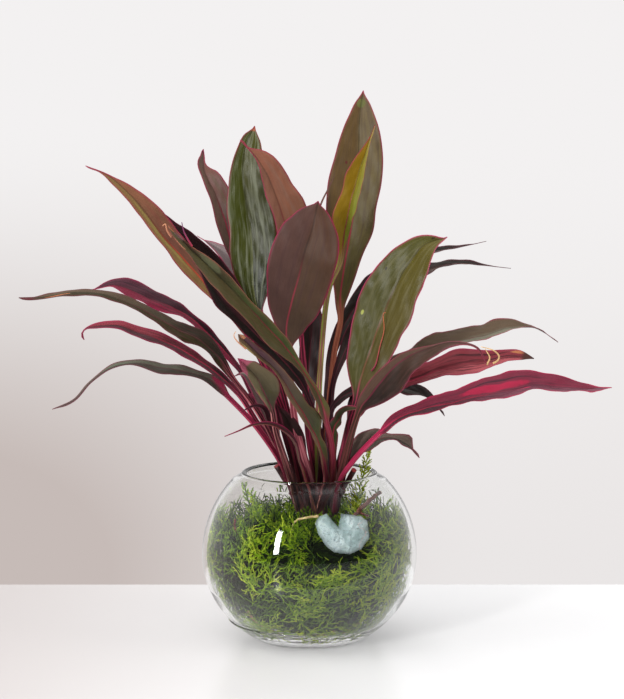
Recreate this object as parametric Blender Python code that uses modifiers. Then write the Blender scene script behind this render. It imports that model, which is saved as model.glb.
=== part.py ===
"""A potted cordyline: five leafy shoots in a clear glass fishbowl vase packed with conifer sprigs.

Run it with blender --background --python part.py, or from Blender's text editor. The routes below are in
millimetres, with the origin at the centre of the vase's flat base, +Z up and -Y towards the viewer.
"""

import math
import random

import bmesh
import bpy
from mathutils import Vector

MM = 0.001
WELD_DISTANCE = 0.002

# The vase: a lathed bowl, thick at the base, with a rounded lip.
BOWL_RADIUS = 125.0
BOWL_HEIGHT = 195.0
BELLY_HEIGHT = 98.0
LOWER_REACH = 113.0
UPPER_REACH = 126.0
FOOT_RADIUS = 61.0
WALL = 4.5
THICK_BELOW = 60.0
FOOT_THICKENING = 3.0
FLOOR = 10.0
FLOOR_RADIUS = 46.0
LIP_RADIUS = 3.2
LIP_CENTRE_RADIUS = 76.0
BOWL_SIDES = 36
TRAIL_HEIGHT = 22.0
TRAIL_RADIUS = 1.9
TRAIL_STANDOUT = 0.4
# The trail runs from just left of the front to the back, in degrees about the axis.
TRAIL_START = -93
TRAIL_END = -256
TRAIL_STEP = 18

# The packed sprigs: a core that stays inside the wall, with the canes' holes and short sprigs standing out.
CORE_INSET = 20.0
CORE_TOP = 128.0
CORE_SHOULDER_DROP = 5.0
CORE_SHOULDER = (50.0, 84.0)
CORE_HEIGHTS = (112, 92, 72, 52, 36)
CORE_SIDES = 20
HOLE_FLOOR = 30.5
HOLE_PLAY = 0.7
CLEARANCE = 0.3
SEAT_GAP = 0.5
CANE_RADIUS = 5.5
CANE_TAPER = 0.85
CANE_STEPS = 7
SPRIG_LENGTH = 16.0
SPRIG_SUNK = 5.0
SPRIG_RADIUS = 2.25
SPRIG_ROWS = 7
SPRIG_LOWEST = 40.0
SPRIG_HIGHEST = 112.0
SPRIG_RING = 15
# The rings of upright sprigs on top: (radius, number).
TOP_RINGS = ((48, 13), (64, 17))
TOP_SPRIG_RISE = 22.0
GLASS_CLEAR = 3.0
# How far a sprig's ends keep from the routes of what else stands in the bed.
FOOT_CLEAR = 11.0
TIP_CLEAR = 15.0
SPRAY_RIB_HALF_WIDTH = 1.5
SPRAY_THICKNESS = 1.8
RIB_TAPER = 0.5
SPRAY_TAPER = 0.45
SPRAY_LEAN = 0.75
SPRAY_SPREAD = 0.85
SPRAY_WAVE = 0.15
SPRAY_WAVE_TURN = 2.4

# A leaf: its petiole is channelled and thick, and its blade thins out to the tip.
STALK_HALF_WIDTH = 3.4
STALK_THICKNESS = 3.6
BLADE_THICKNESS = 1.1
RIB_THICKNESS = 1.3
LEAF_STEP_LENGTH = 34.0
LEAF_LEAST_STEPS = 6
TIP_SHARE = 0.07
LEAN_POWER = 1.6
PHOTO_EYE = (3, -2100, 554)
# The stalk's own width falls by this share along the blade, and again from this place to the tip.
RIB_NARROWING = 0.4
TAPER_FROM = 0.8
TAPER_SHARE = 0.8
# A leaf is less folded at its foot than along its blade.
FOOT_FOLD = 0.35

LEFT_CANE = ((-4, -6, 31), (-6, -6, 130), (-17, -13, 178))
BACK_LEFT_CANE = ((0, 13, 31), (-1, 13, 130), (-6, 13, 182))
FRONT_CANE = ((9, -13, 31), (10, -14, 130), (10, -25, 180))
BACK_CANE = ((17, 12, 31), (17, 12, 130), (15, 15, 182))
RIGHT_CANE = ((27, -3, 31), (27, -4, 130), (32, -9, 178))

# Each leaf is (name, share of its length that is petiole, width, fullness, fold in degrees, how far its tip
# leans back, the way its upper face looks at its foot and at its tip, and its route from the cane to its
# tip). A fuller blade keeps its width nearer to both ends. A lean keeps the leaf's place in the photo.
LEFT_LEAVES = (
    ("far_left", 0.36, 34, 1.8, 22, -60, (0.2, -0.5, 0.9), (0, -0.3, 1),
     ((-10, -9, 150), (-32, -24, 201), (-59, -38, 270), (-96, -45, 324), (-135, -48, 358),
      (-203, -50, 393), (-272, -45, 405), (-331, -40, 399))),
    ("purple_arch", 0.40, 42, 1.8, 30, 50, (0.3, -0.4, 0.9), (0, -0.5, 0.9),
     ((-8, -5, 150), (-28, -10, 198), (-67, 0, 287), (-97, 4, 331), (-139, 8, 363), (-188, 8, 396),
      (-226, 6, 409), (-253, 2, 404))),
    ("crimson_hook", 0.38, 36, 1.8, 26, 0, (0.3, -0.3, 0.9), (-0.2, -0.4, 1),
     ((-9, -7, 150), (-31, -17, 207), (-61, -14, 256), (-103, -10, 303), (-150, -10, 332),
      (-199, -10, 356), (-240, -10, 367), (-257, -10, 349))),
    ("low_grey", 0.42, 34, 1.6, 18, -90, (0.3, -0.2, 0.9), (-0.6, 0.0, 0.85),
     ((-11, -10, 150), (-28, -30, 203), (-57, -46, 251), (-104, -48, 300), (-147, -44, 316),
      (-208, -40, 324), (-251, -37, 299), (-293, -33, 270))),
    ("pink_tip", 0.48, 36, 1.8, 42, -50, (0.5, -0.8, 0.3), (0.3, -0.9, 0.4),
     ((-12, -12, 150), (-21, -30, 190), (-37, -50, 246), (-42, -58, 273), (-54, -64, 302),
      (-81, -68, 336))),
    ("crimson_flap", 0.50, 24, 1.8, 24, 10, (-0.2, -0.8, 0.5), (0, -0.5, 0.9),
     ((-11, -8, 152), (-26, -17, 195), (-40, -25, 240), (-54, -27, 277), (-82, -26, 289))),
    ("thin_curl", 0.60, 10, 1.8, 20, -30, (0.1, -0.8, 0.5), (0, -0.5, 0.9),
     ((-12, -11, 155), (-27, -35, 205), (-40, -46, 248), (-50, -50, 272), (-62, -51, 278),
      (-78, -51, 271))),
    ("grey_curl", 0.50, 22, 1.8, 24, -10, (0.1, -0.8, 0.5), (0, -0.8, 0.6),
     ((-11, -10, 150), (-28, -24, 200), (-44, -34, 260), (-57, -37, 290), (-74, -36, 312),
      (-88, -35, 309))),
)
BACK_LEFT_LEAVES = (
    ("tan_blade", 0.40, 38, 1.6, 12, -25, (-0.1, -0.8, 0.6), (0, -0.8, 0.6),
     ((-3, 13, 150), (-22, 2, 237), (-44, -6, 300), (-68, -16, 360), (-98, -26, 410), (-130, -34, 452),
      (-177, -41, 491), (-218, -44, 532), (-252, -45, 548))),
    ("black_blade", 0.44, 36, 1.8, 18, 15, (0, -0.9, 0.5), (0, -0.8, 0.6),
     ((-3, 13, 150), (-29, 14, 255), (-52, 12, 318), (-82, 4, 385), (-113, -4, 431), (-150, -12, 470),
      (-178, -17, 499))),
    ("mauve_hook", 0.42, 32, 1.8, 22, 80, (0.2, -1, 0.1), (0.4, -0.9, 0.2),
     ((-3, 14, 150), (-40, 20, 275), (-60, 24, 345), (-74, 27, 404), (-91, 28, 463), (-110, 26, 512),
      (-127, 23, 552), (-124, 20, 570))),
    ("grey_back", 0.50, 34, 1.8, 24, 100, (0.1, -0.9, 0.4), (0, -0.6, 0.8),
     ((-3, 15, 150), (-32, 28, 262), (-54, 38, 338), (-74, 44, 400), (-94, 48, 440), (-132, 50, 466))),
    ("green_gloss", 0.47, 58, 2.0, 10, 40, (-0.2, -1, 0.1), (0, -1, 0.1),
     ((-2, 12, 150), (-17, 8, 225), (-35, 8, 300), (-55, 9, 386), (-68, 10, 437), (-74, 8, 504),
      (-70, -1, 566), (-61, -8, 596))),
)
FRONT_LEAVES = (
    ("small_arch", 0.40, 15, 1.8, 28, -60, (0.6, -0.5, 0.6), (0, -0.5, 0.9),
     ((9, -18, 150), (0, -30, 186), (-8, -46, 214), (-25, -66, 250), (-42, -76, 262), (-61, -82, 262),
      (-94, -88, 249))),
    ("olive_front", 0.28, 30, 1.8, 34, -50, (0.7, -0.6, 0.3), (0.3, -0.8, 0.5),
     ((11, -18, 150), (26, -24, 188), (26, -34, 230), (12, -54, 278), (-24, -74, 340), (-60, -84, 380),
      (-100, -90, 425), (-135, -90, 465), (-158, -88, 483))),
    ("black_under", 0.30, 26, 1.8, 20, -30, (0.5, -0.8, 0.3), (0.3, -0.8, 0.5),
     ((10, -18, 150), (14, -24, 230), (-4, -38, 285), (-38, -50, 331), (-72, -55, 357), (-100, -58, 386),
      (-134, -60, 443))),
    ("peach_edge", 0.22, 28, 1.8, 26, -60, (0.7, -0.6, 0.3), (0.3, -0.8, 0.4),
     ((10, -19, 150), (19, -30, 186), (16, -44, 232), (-7, -60, 279), (-46, -74, 331), (-72, -79, 354),
      (-98, -78, 387))),
    ("purple_front", 0.47, 82, 2.4, 10, 0, (0.2, -1, 0.1), (-0.2, -1, 0),
     ((9, -19, 150), (-2, -26, 200), (-16, -28, 255), (-25, -34, 345), (-16, -50, 400), (-8, -58, 440),
      (3, -58, 478), (15, -52, 508))),
    ("purple_thread", 0.05, 6, 1.8, 10, 0, (0, -1, 0), (0, -1, 0),
     ((7, -57, 488), (14, -51, 508), (21, -44, 522), (29, -36, 538))),
    ("dark_pair", 0.42, 20, 1.8, 20, 0, (0.3, -0.9, 0.2), (0.3, -0.8, 0.4),
     ((9, -17, 155), (-5, -21, 205), (-14, -27, 236), (-26, -30, 260), (-39, -31, 280))),
)
BACK_LEAVES = (
    ("salmon_arch", 0.45, 44, 1.8, 14, 10, (0.2, -1, 0.2), (0.3, -0.8, 0.5),
     ((16, 13, 150), (0, 12, 230), (-5, 9, 300), (-9, 5, 370), (-15, 0, 435), (-24, -8, 490),
      (-44, -17, 540), (-60, -23, 564), (-81, -28, 583))),
    ("tallest", 0.48, 64, 1.8, 12, 70, (0.1, -1, 0.1), (-0.1, -1, 0.2),
     ((16, 14, 150), (20, 17, 223), (28, 23, 322), (42, 27, 415), (50, 29, 481), (57, 28, 547),
      (60, 25, 600), (63, 22, 640))),
    ("lime_fold", 0.55, 42, 1.8, 48, 20, (-0.5, -0.9, 0), (-0.6, -0.8, 0.2),
     ((15, 12, 150), (10, 6, 225), (13, 0, 318), (21, -3, 400), (34, -6, 462), (48, -10, 518),
      (68, -17, 574), (76, -20, 596))),
    ("dark_shelf", 0.34, 32, 1.8, 16, 100, (-0.3, -0.6, 0.7), (0, -0.1, 1),
     ((18, 16, 150), (19, 21, 252), (26, 30, 327), (57, 38, 388), (89, 42, 420), (125, 44, 442),
      (181, 45, 454), (207, 44, 460))),
    ("dark_ledge", 0.34, 36, 1.8, 16, 60, (-0.3, -0.6, 0.7), (0, -0.1, 1),
     ((20, 14, 150), (24, 14, 253), (32, 14, 311), (73, 18, 389), (106, 18, 410), (141, 18, 428),
      (176, 17, 435), (233, 15, 430))),
    ("dark_centre", 0.36, 30, 1.8, 16, 60, (0, -1, 0.1), (0.2, -0.9, 0.3),
     ((14, 17, 150), (3, 24, 240), (-1, 30, 304), (3, 37, 362), (-2, 42, 395), (-11, 46, 422))),
)
RIGHT_LEAVES = (
    ("olive_gloss", 0.36, 60, 1.8, 12, 0, (-0.4, -0.9, 0.3), (-0.2, -0.8, 0.6),
     ((28, -5, 150), (36, -9, 204), (46, -17, 255), (63, -24, 316), (85, -30, 381), (101, -32, 416),
      (122, -33, 448), (150, -30, 468))),
    ("brown_fold", 0.30, 44, 1.8, 36, -80, (-0.3, -0.8, 0.5), (0, -0.6, 0.8),
     ((29, -8, 150), (33, -22, 184), (52, -48, 256), (68, -63, 297), (107, -73, 325), (133, -76, 336),
      (160, -76, 344), (201, -71, 341))),
    ("crimson_right", 0.30, 44, 1.8, 24, -30, (-0.3, -0.7, 0.6), (0, -0.6, 0.8),
     ((30, -7, 150), (36, -15, 182), (56, -34, 254), (97, -44, 292), (153, -50, 321), (184, -52, 329),
      (238, -53, 336), (254, -52, 332))),
    ("grey_arch", 0.36, 38, 1.6, 16, 70, (-0.3, -0.4, 0.9), (0.2, -0.2, 1),
     ((28, -2, 150), (33, -1, 197), (46, -2, 250), (76, -6, 304), (128, -10, 337), (185, -12, 357),
      (250, -10, 367), (287, -6, 346))),
    ("long_low", 0.24, 38, 1.8, 20, -100, (-0.4, -0.5, 0.8), (0, -0.4, 0.9),
     ((29, -10, 150), (32, -36, 186), (49, -48, 215), (80, -60, 250), (115, -66, 274), (180, -67, 292),
      (248, -64, 308), (314, -60, 302), (343, -58, 299))),
    ("grey_droop", 0.26, 30, 1.8, 20, -20, (-0.6, -0.5, 0.6), (0.5, -0.4, 0.7),
     ((30, -8, 152), (39, -18, 200), (58, -25, 235), (74, -27, 243), (98, -28, 240), (118, -29, 226),
      (126, -28, 213))),
    ("dark_droop", 0.30, 26, 1.8, 16, 30, (-0.3, -0.5, 0.8), (0.5, -0.3, 0.8),
     ((27, -1, 150), (22, 2, 230), (38, 4, 278), (76, 5, 297), (118, 5, 294), (142, 5, 283),
      (157, 4, 259))),
    ("green_nub", 0.40, 18, 1.8, 20, -30, (-0.3, -0.8, 0.4), (0.2, -0.5, 0.8),
     ((29, -6, 155), (27, -8, 235), (34, -11, 256), (43, -13, 268), (67, -16, 270))),
)
# A cut stub is (radius, foot, cut end).
LEFT_STUB = (3.4, (-12, -10, 160), (-38, -20, 205))
RIGHT_STUB = (3.2, (30, -10, 158), (51, -38, 203))

# A spray is (name, number of side sprigs, their length, route from its foot to its tip).
SPRAYS = (
    ("spray_rim_right", 18, 15, ((52, 4, 138), (58, 4, 168), (66, 0, 205), (70, -2, 222))),
    ("spray_left_up", 12, 12, ((-52, -30, 134), (-62, -36, 160), (-66, -40, 178))),
    ("spray_left_in", 12, 12, ((-62, 2, 132), (-72, 4, 160), (-76, 4, 178))),
    ("spray_arch_left", 16, 13, ((-34, -58, 133), (-44, -76, 150), (-64, -84, 132), (-75, -82, 112))),
    ("spray_arch_front", 14, 13, ((-19, -54, 134), (-26, -82, 147), (-14, -104, 126), (-6, -109, 108))),
    ("spray_front_low", 14, 13, ((-42, -94, 70), (-24, -102, 84), (2, -107, 92), (20, -105, 92))),
    ("spray_left_side", 16, 12, ((-88, -48, 52), (-94, -54, 74), (-96, -54, 100), (-92, -50, 124))),
    ("spray_right_low", 16, 14, ((44, -78, 44), (58, -84, 60), (74, -78, 76), (86, -68, 90))),
    ("spray_right_side", 16, 13, ((96, -28, 66), (108, -24, 92), (106, -22, 118), (96, -20, 142))),
    ("spray_back_right", 16, 13, ((70, 72, 60), (80, 76, 84), (80, 76, 112), (70, 68, 138))),
    ("spray_back", 16, 13, ((-10, 100, 56), (-8, 110, 84), (-6, 108, 114), (-4, 94, 142))),
    ("spray_back_left", 16, 13, ((-78, 66, 58), (-86, 72, 84), (-84, 70, 114), (-72, 60, 140))),
    ("spray_back_up", 14, 13, ((20, 52, 134), (24, 60, 160), (26, 62, 184))),
)
# A twig is (name, radius, colour, routes, the first being the main stem).
TWIGS = (
    ("woody_twig", 2.4, (0.16, 0.09, 0.05), (((44, -52, 132), (54, -62, 158), (80, -38, 176)),
                                             ((54, -62, 158), (66, -64, 154)))),
    ("straw", 1.1, (0.55, 0.42, 0.24), (((-20, -70, 131), (-8, -78, 140), (14, -74, 145)),)),
    ("red_twig", 1.2, (0.30, 0.06, 0.05), (((-70, -62, 118), (-82, -62, 136), (-84, -44, 146)),)),
    ("root_left", 1.5, (0.24, 0.12, 0.06),
     (((-70, -54, 42), (-58, -66, 32), (-40, -67, 23), (-26, -61, 18)),)),
    ("root_front", 1.7, (0.24, 0.12, 0.06),
     (((-14, -58, 17), (-2, -63, 18), (14, -63, 18), (28, -68, 24)),)),
    ("root_right", 1.5, (0.24, 0.12, 0.06), (((36, -57, 19), (48, -63, 26), (62, -62, 37)),)),
)

# The chunk's outline as seen from the front, and how thick it is.
CHUNK_OUTLINE = ((-31, 14), (-25, 20), (-16, 22), (-4, 1), (1, 21), (12, 19), (24, 17), (31, 11), (31, -8),
                 (20, -20), (5, -24), (-13, -21), (-22, -12), (-29, 2))
CHUNK_CENTRE = (36.6, -92.5, 141)
CHUNK_THICKNESS = 13.0
CHUNK_WEAR = 2.0
CHUNK_TURN = 21.6
CHUNK_LEAN = 19.7

GREEN = (0.10, 0.19, 0.04)
LEFT_COLOUR = (0.19, 0.06, 0.07)
BACK_LEFT_COLOUR = (0.13, 0.08, 0.05)
FRONT_COLOUR = (0.10, 0.05, 0.05)
BACK_COLOUR = (0.16, 0.10, 0.04)
RIGHT_COLOUR = (0.17, 0.06, 0.06)


def clear_scene():
    for item in list(bpy.data.objects):
        bpy.data.objects.remove(item, do_unlink=True)


def material(name, colour, roughness, clear=0.0):
    made = bpy.data.materials.new(name)
    made.use_nodes = True
    shader = made.node_tree.nodes["Principled BSDF"]
    shader.inputs["Base Color"].default_value = (*colour, 1)
    shader.inputs["Roughness"].default_value = roughness
    shader.inputs["Transmission Weight"].default_value = clear
    made.diffuse_color = (*colour, 1)
    return made


def add_mesh(name, points, faces, collection, finish=None):
    mesh = bpy.data.meshes.new(name)
    mesh.from_pydata([Vector(p) * MM for p in points], [], faces)
    item = bpy.data.objects.new(name, mesh)
    collection.objects.link(item)
    if finish:
        mesh.materials.append(finish)
    return item


def route_at(waypoints, count):
    """count points, evenly spaced on a smooth curve through the waypoints, from the first to the last."""
    ends = [Vector(p) for p in waypoints]
    ends = [2 * ends[0] - ends[1], *ends, 2 * ends[-1] - ends[-2]]
    dense = []
    for a, b, c, d in zip(ends, ends[1:], ends[2:], ends[3:]):
        for step in range(12):
            t = step / 12
            square = (2 * a - 5 * b + 4 * c - d) * t**2
            cube = (3 * b - a - 3 * c + d) * t**3
            dense.append((2 * b + (c - a) * t + square + cube) / 2)
    dense.append(ends[-2])
    lengths = [0.0]
    for a, b in zip(dense, dense[1:]):
        lengths.append(lengths[-1] + (b - a).length)
    even = []
    at = 0
    for i in range(count):
        wanted = lengths[-1] * i / (count - 1)
        while at < len(dense) - 2 and lengths[at + 1] < wanted:
            at += 1
        share = (wanted - lengths[at]) / (lengths[at + 1] - lengths[at])
        even.append(dense[at].lerp(dense[at + 1], min(share, 1.0)))
    return even


def tangents(points):
    ahead = points[1:] + [2 * points[-1] - points[-2]]
    behind = [2 * points[0] - points[1]] + points[:-1]
    return [(a - b).normalized() for a, b in zip(ahead, behind)]


def loft(name, rings, collection, caps=None):
    """A closed solid through the rings, with every side face split along the same diagonal.

    caps lists the faces that close an end, as places in a ring.
    """
    sides = len(rings[0])
    points = [p for ring in rings for p in ring]
    faces = []
    for row in range(len(rings) - 1):
        low = row * sides
        for i in range(sides):
            j = (i + 1) % sides
            quad = (low + i, low + j, low + sides + j, low + sides + i)
            # The lower half of a blade's ring runs the other way, so its diagonal is the mirror image.
            if i < sides // 2:
                faces += [(quad[0], quad[1], quad[2]), (quad[0], quad[2], quad[3])]
            else:
                faces += [(quad[0], quad[1], quad[3]), (quad[1], quad[2], quad[3])]
    last = len(points) - sides
    for cap in caps or (tuple(range(sides)),):
        faces.append(tuple(reversed(cap)))
        faces.append(tuple(last + place for place in cap))
    return add_mesh(name, points, faces, collection)


def leant(waypoints, depth):
    """The route with each place moved back along the photo's line of sight, by depth at the tip."""
    eye = Vector(PHOTO_EYE)
    last = len(waypoints) - 1
    moved = []
    for i, waypoint in enumerate(waypoints):
        sight = Vector(waypoint) - eye
        moved.append(eye + sight * (1 + depth * (i / last) ** LEAN_POWER / sight.y))
    return moved


def swell(share, fullness):
    """How wide a blade is at this share of its length, from 0 to 1. It ends in a drawn-out thread."""
    body = min(1.0, share / (1 - TIP_SHARE))
    return 1 - abs(2 * body**1.15 - 1) ** fullness


def leaf(row, collection):
    name, stalk_share, width, fullness, fold, depth, foot_face, tip_face, waypoints = row
    waypoints = leant(waypoints, depth)
    length = sum((b - a).length for a, b in zip(waypoints, waypoints[1:]))
    steps = LEAF_LEAST_STEPS + round(length / LEAF_STEP_LENGTH)
    points = route_at(waypoints, steps)
    rings = []
    for i, (point, along) in enumerate(zip(points, tangents(points))):
        share = i / (steps - 1)
        blade = max(0.0, (share - stalk_share) / (1 - stalk_share))
        face = Vector(foot_face).normalized().lerp(Vector(tip_face).normalized(), blade)
        side = along.cross(face).normalized()
        up = side.cross(along).normalized()
        taper = 1 - max(0.0, (share - TAPER_FROM) / (1 - TAPER_FROM)) * TAPER_SHARE
        rib_half = STALK_HALF_WIDTH * taper * (1 - RIB_NARROWING * blade)
        half = rib_half + (width / 2 - STALK_HALF_WIDTH) * swell(blade, fullness)
        lift = math.radians(fold) * min(1.0, FOOT_FOLD + 2 * blade)
        across = side * half * math.cos(lift)
        rise = up * half * math.sin(lift)
        slim = min(1.0, blade * 4)
        thick = STALK_THICKNESS + (BLADE_THICKNESS - STALK_THICKNESS) * slim
        rib = thick + RIB_THICKNESS * (1 - blade)
        rings.append(
            [
                point - across + rise,
                point,
                point + across + rise,
                point + across + rise - up * thick,
                point - up * rib,
                point - across + rise - up * thick,
            ]
        )
    turned_rings = [[ring[k] for k in (0, 5, 4, 3, 2, 1)] for ring in rings]
    return loft(name, turned_rings, collection, caps=((0, 1, 2, 5), (5, 2, 3, 4)))


def as_mesh(item, name, finish=None):
    """The object's evaluated shape as a plain, welded mesh object of this name, in place of the object."""
    graph = bpy.context.evaluated_depsgraph_get()
    mesh = bpy.data.meshes.new_from_object(item.evaluated_get(graph))
    mesh.name = name
    shape = bmesh.new()
    shape.from_mesh(mesh)
    bmesh.ops.remove_doubles(shape, verts=shape.verts, dist=WELD_DISTANCE * MM)
    shape.to_mesh(mesh)
    shape.free()
    made = bpy.data.objects.new(name, mesh)
    for owner in item.users_collection:
        owner.objects.link(made)
    made.matrix_world = item.matrix_world
    bpy.data.objects.remove(item, do_unlink=True)
    mesh.materials.clear()
    if finish:
        mesh.materials.append(finish)
    return made


def stem(name, waypoints, start_radius, end_radius, resolution, steps, collection):
    """A tapered round stem along a smooth curve through the waypoints."""
    curve = bpy.data.curves.new(name, "CURVE")
    curve.dimensions = "3D"
    curve.bevel_depth = start_radius * MM
    curve.bevel_resolution = resolution
    curve.use_fill_caps = True
    line = curve.splines.new("POLY")
    line.points.add(steps - 1)
    for i, place in enumerate(route_at(waypoints, steps)):
        line.points[i].co = (*(place * MM), 1)
        line.points[i].radius = 1 + (end_radius / start_radius - 1) * i / (steps - 1)
    item = bpy.data.objects.new(name + "_curve", curve)
    collection.objects.link(item)
    return as_mesh(item, name)


def fuse(name, base, others, finish, operation="UNION"):
    """One body from the base and the other objects, which are used up."""
    tools = bpy.data.collections.new(name + "_tools")
    bpy.context.scene.collection.children.link(tools)
    for other in others:
        for owner in other.users_collection:
            owner.objects.unlink(other)
        tools.objects.link(other)
    join = base.modifiers.new("join", "BOOLEAN")
    join.operation = operation
    join.operand_type = "COLLECTION"
    join.collection = tools
    join.solver = "EXACT"
    made = as_mesh(base, name, finish)
    for other in list(tools.objects):
        bpy.data.objects.remove(other, do_unlink=True)
    bpy.data.collections.remove(tools)
    return made


def shoot(name, colour, cane, leaves, stubs, collection):
    """A cane with its leaves grown from it, as one body."""
    base = stem(name + "_cane", cane, CANE_RADIUS, CANE_RADIUS * CANE_TAPER, 2, CANE_STEPS, collection)
    grown = [leaf(row, collection) for row in leaves]
    for radius, foot, cut in stubs:
        grown.append(stem("stub", (foot, cut), radius, radius, 1, 2, collection))
    return fuse(name, base, grown, material(name + "_leaf", colour, 0.4))


def outer_radius(height):
    reach = LOWER_REACH if height < BELLY_HEIGHT else UPPER_REACH
    return BOWL_RADIUS * math.sqrt(1 - ((BELLY_HEIGHT - height) / reach) ** 2)


def inner_radius(height):
    """The inside of the glass, which thickens towards the base."""
    thick = WALL + FOOT_THICKENING * max(0.0, 1 - height / THICK_BELOW)
    return outer_radius(height) - thick


def bowl_profile():
    """Points (radius, height) from the middle of the floor up the inside, over the lip and down outside."""
    inside = [(inner_radius(h), h) for h in (20, 36, 56, 76, 98, 120, 142, 164, 180)]
    lip = []
    for degrees in (180, 120, 60, 0):
        turn = math.radians(degrees)
        height = BOWL_HEIGHT - LIP_RADIUS + LIP_RADIUS * math.sin(turn)
        lip.append((LIP_CENTRE_RADIUS + LIP_RADIUS * math.cos(turn), height))
    outside = [(outer_radius(h), h) for h in (183, 164, 142, 120, 98, 76, 54, 34, 18, 7, 2)]
    floor = [(0.0, FLOOR), (FLOOR_RADIUS, FLOOR), (FLOOR_RADIUS + 14, FLOOR + 3)]
    base = [(FOOT_RADIUS, 0.0), (0.0, 0.0)]
    return floor + inside + lip + outside + base


def turned(name, profile, sides, collection):
    """A solid of revolution from a profile that starts and ends on the axis."""
    mesh = bpy.data.meshes.new(name + "_profile")
    edges = [(i, i + 1) for i in range(len(profile) - 1)]
    mesh.from_pydata([(radius * MM, 0, height * MM) for radius, height in profile], edges, [])
    item = bpy.data.objects.new(name + "_profile", mesh)
    collection.objects.link(item)
    spin = item.modifiers.new("turn", "SCREW")
    spin.steps = sides
    spin.render_steps = sides
    spin.use_merge_vertices = True
    spin.merge_threshold = 0.00005
    return as_mesh(item, name)


def bowl(collection):
    glass = material("clear_glass", (0.95, 0.97, 0.96), 0.03, clear=1.0)
    body = turned("bowl_body", bowl_profile(), BOWL_SIDES, collection)
    radius = outer_radius(TRAIL_HEIGHT) + TRAIL_STANDOUT
    arc = []
    for degrees in range(TRAIL_START, TRAIL_END, -TRAIL_STEP):
        turn = math.radians(degrees)
        arc.append((radius * math.cos(turn), radius * math.sin(turn), TRAIL_HEIGHT))
    trail = stem("trail", arc, TRAIL_RADIUS, TRAIL_RADIUS, 1, 19, collection)
    return fuse("bowl", body, [trail], glass)


def core_profile():
    """The core's (radius, height) points from its top to its base."""
    shoulder_in, shoulder_out = CORE_SHOULDER
    top = [(0.0, CORE_TOP), (shoulder_in, CORE_TOP), (shoulder_out, CORE_TOP - CORE_SHOULDER_DROP)]
    side = [(inner_radius(h) - CORE_INSET, h) for h in CORE_HEIGHTS]
    foot = [(54.0, 24.0), (FLOOR_RADIUS - 4, FLOOR + CLEARANCE), (0.0, FLOOR + CLEARANCE)]
    return top + side + foot


def seated(waypoints, half_thickness):
    """The route with its foot moved to the core's surface, a small gap clear of it."""
    foot = Vector(waypoints[0])
    along = (Vector(waypoints[1]) - foot).normalized()
    turn = math.atan2(foot.y, foot.x)
    out = Vector((math.cos(turn), math.sin(turn), 0))
    # The core is a prism with this many sides, so it is nearer to the axis at the middle of a side.
    half_side = math.pi / CORE_SIDES
    shrink = math.cos(half_side) / math.cos(turn % (2 * half_side) - half_side)
    nearest = None
    for (r0, h0), (r1, h1) in zip(core_profile(), core_profile()[1:]):
        start = out * r0 * shrink + Vector((0, 0, h0))
        step = out * (r1 - r0) * shrink + Vector((0, 0, h1 - h0))
        share = min(1.0, max(0.0, (foot - start).dot(step) / step.length_squared))
        place = start + step * share
        if nearest is None or (place - foot).length < (nearest - foot).length:
            nearest = place
            normal = (out * -step.z + Vector((0, 0, step.dot(out)))).normalized()
    lean = math.sqrt(max(0.0, 1 - along.dot(normal) ** 2))
    return [nearest + normal * (SEAT_GAP + half_thickness * lean), *waypoints[1:]]


def sprig(start, end, radius, collection):
    """A three-sided branchlet that tapers to its tip."""
    along = (end - start).normalized()
    side = along.cross(Vector((0.3, 0.2, 1)).normalized()).normalized()
    up = along.cross(side)
    rings = []
    for point, size in ((start, 1.0), (end, 0.3)):
        turns = [2 * math.pi * k / 3 for k in range(3)]
        rings.append([point + radius * size * (side * math.cos(a) + up * math.sin(a)) for a in turns])
    return loft("sprig", rings, collection)


def spray(row, finish, collection):
    """A flat, curved spray: a rib with side sprigs that alternate left and right and lean to its tip."""
    name, count, length, waypoints = row
    places = route_at(seated(waypoints, SPRAY_THICKNESS / 2), count + 3)
    points = []
    faces = []
    for i, (place, along) in enumerate(zip(places, tangents(places))):
        outward = Vector((place.x, place.y, 0)).normalized()
        side = along.cross(outward).normalized()
        half = side * (SPRAY_RIB_HALF_WIDTH * (1 - RIB_TAPER * i / count))
        points += [place - half, place + half]
        if i == 0:
            continue
        low = 2 * (i - 1)
        faces += [(low, low + 1, low + 3), (low, low + 3, low + 2)]
    for i in range(1, count + 1):
        along = (places[i + 1] - places[i]).normalized()
        outward = Vector((places[i].x, places[i].y, 0)).normalized()
        way = -1 if i % 2 else 1
        reach = length * (1 - SPRAY_TAPER * i / count)
        side = along.cross(outward).normalized() * way
        # Each side sprig leans to the tip, and waves a little in and out of the sheet.
        wave = outward * SPRAY_WAVE * math.sin(SPRAY_WAVE_TURN * i)
        tip = places[i] + (along * SPRAY_LEAN + side * SPRAY_SPREAD + wave) * reach
        low = 2 * i + (0 if way < 0 else 1)
        points.append(tip)
        faces.append((low, low + 2, len(points) - 1) if way < 0 else (low + 2, low, len(points) - 1))
    sheet = add_mesh(name, points, faces, collection, finish)
    thicken = sheet.modifiers.new("thickness", "SOLIDIFY")
    thicken.thickness = SPRAY_THICKNESS * MM
    thicken.offset = 0
    return sheet


def near(point, routes, distance):
    return any((Vector(p) - point).length < distance for route in routes for p in route)


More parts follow.
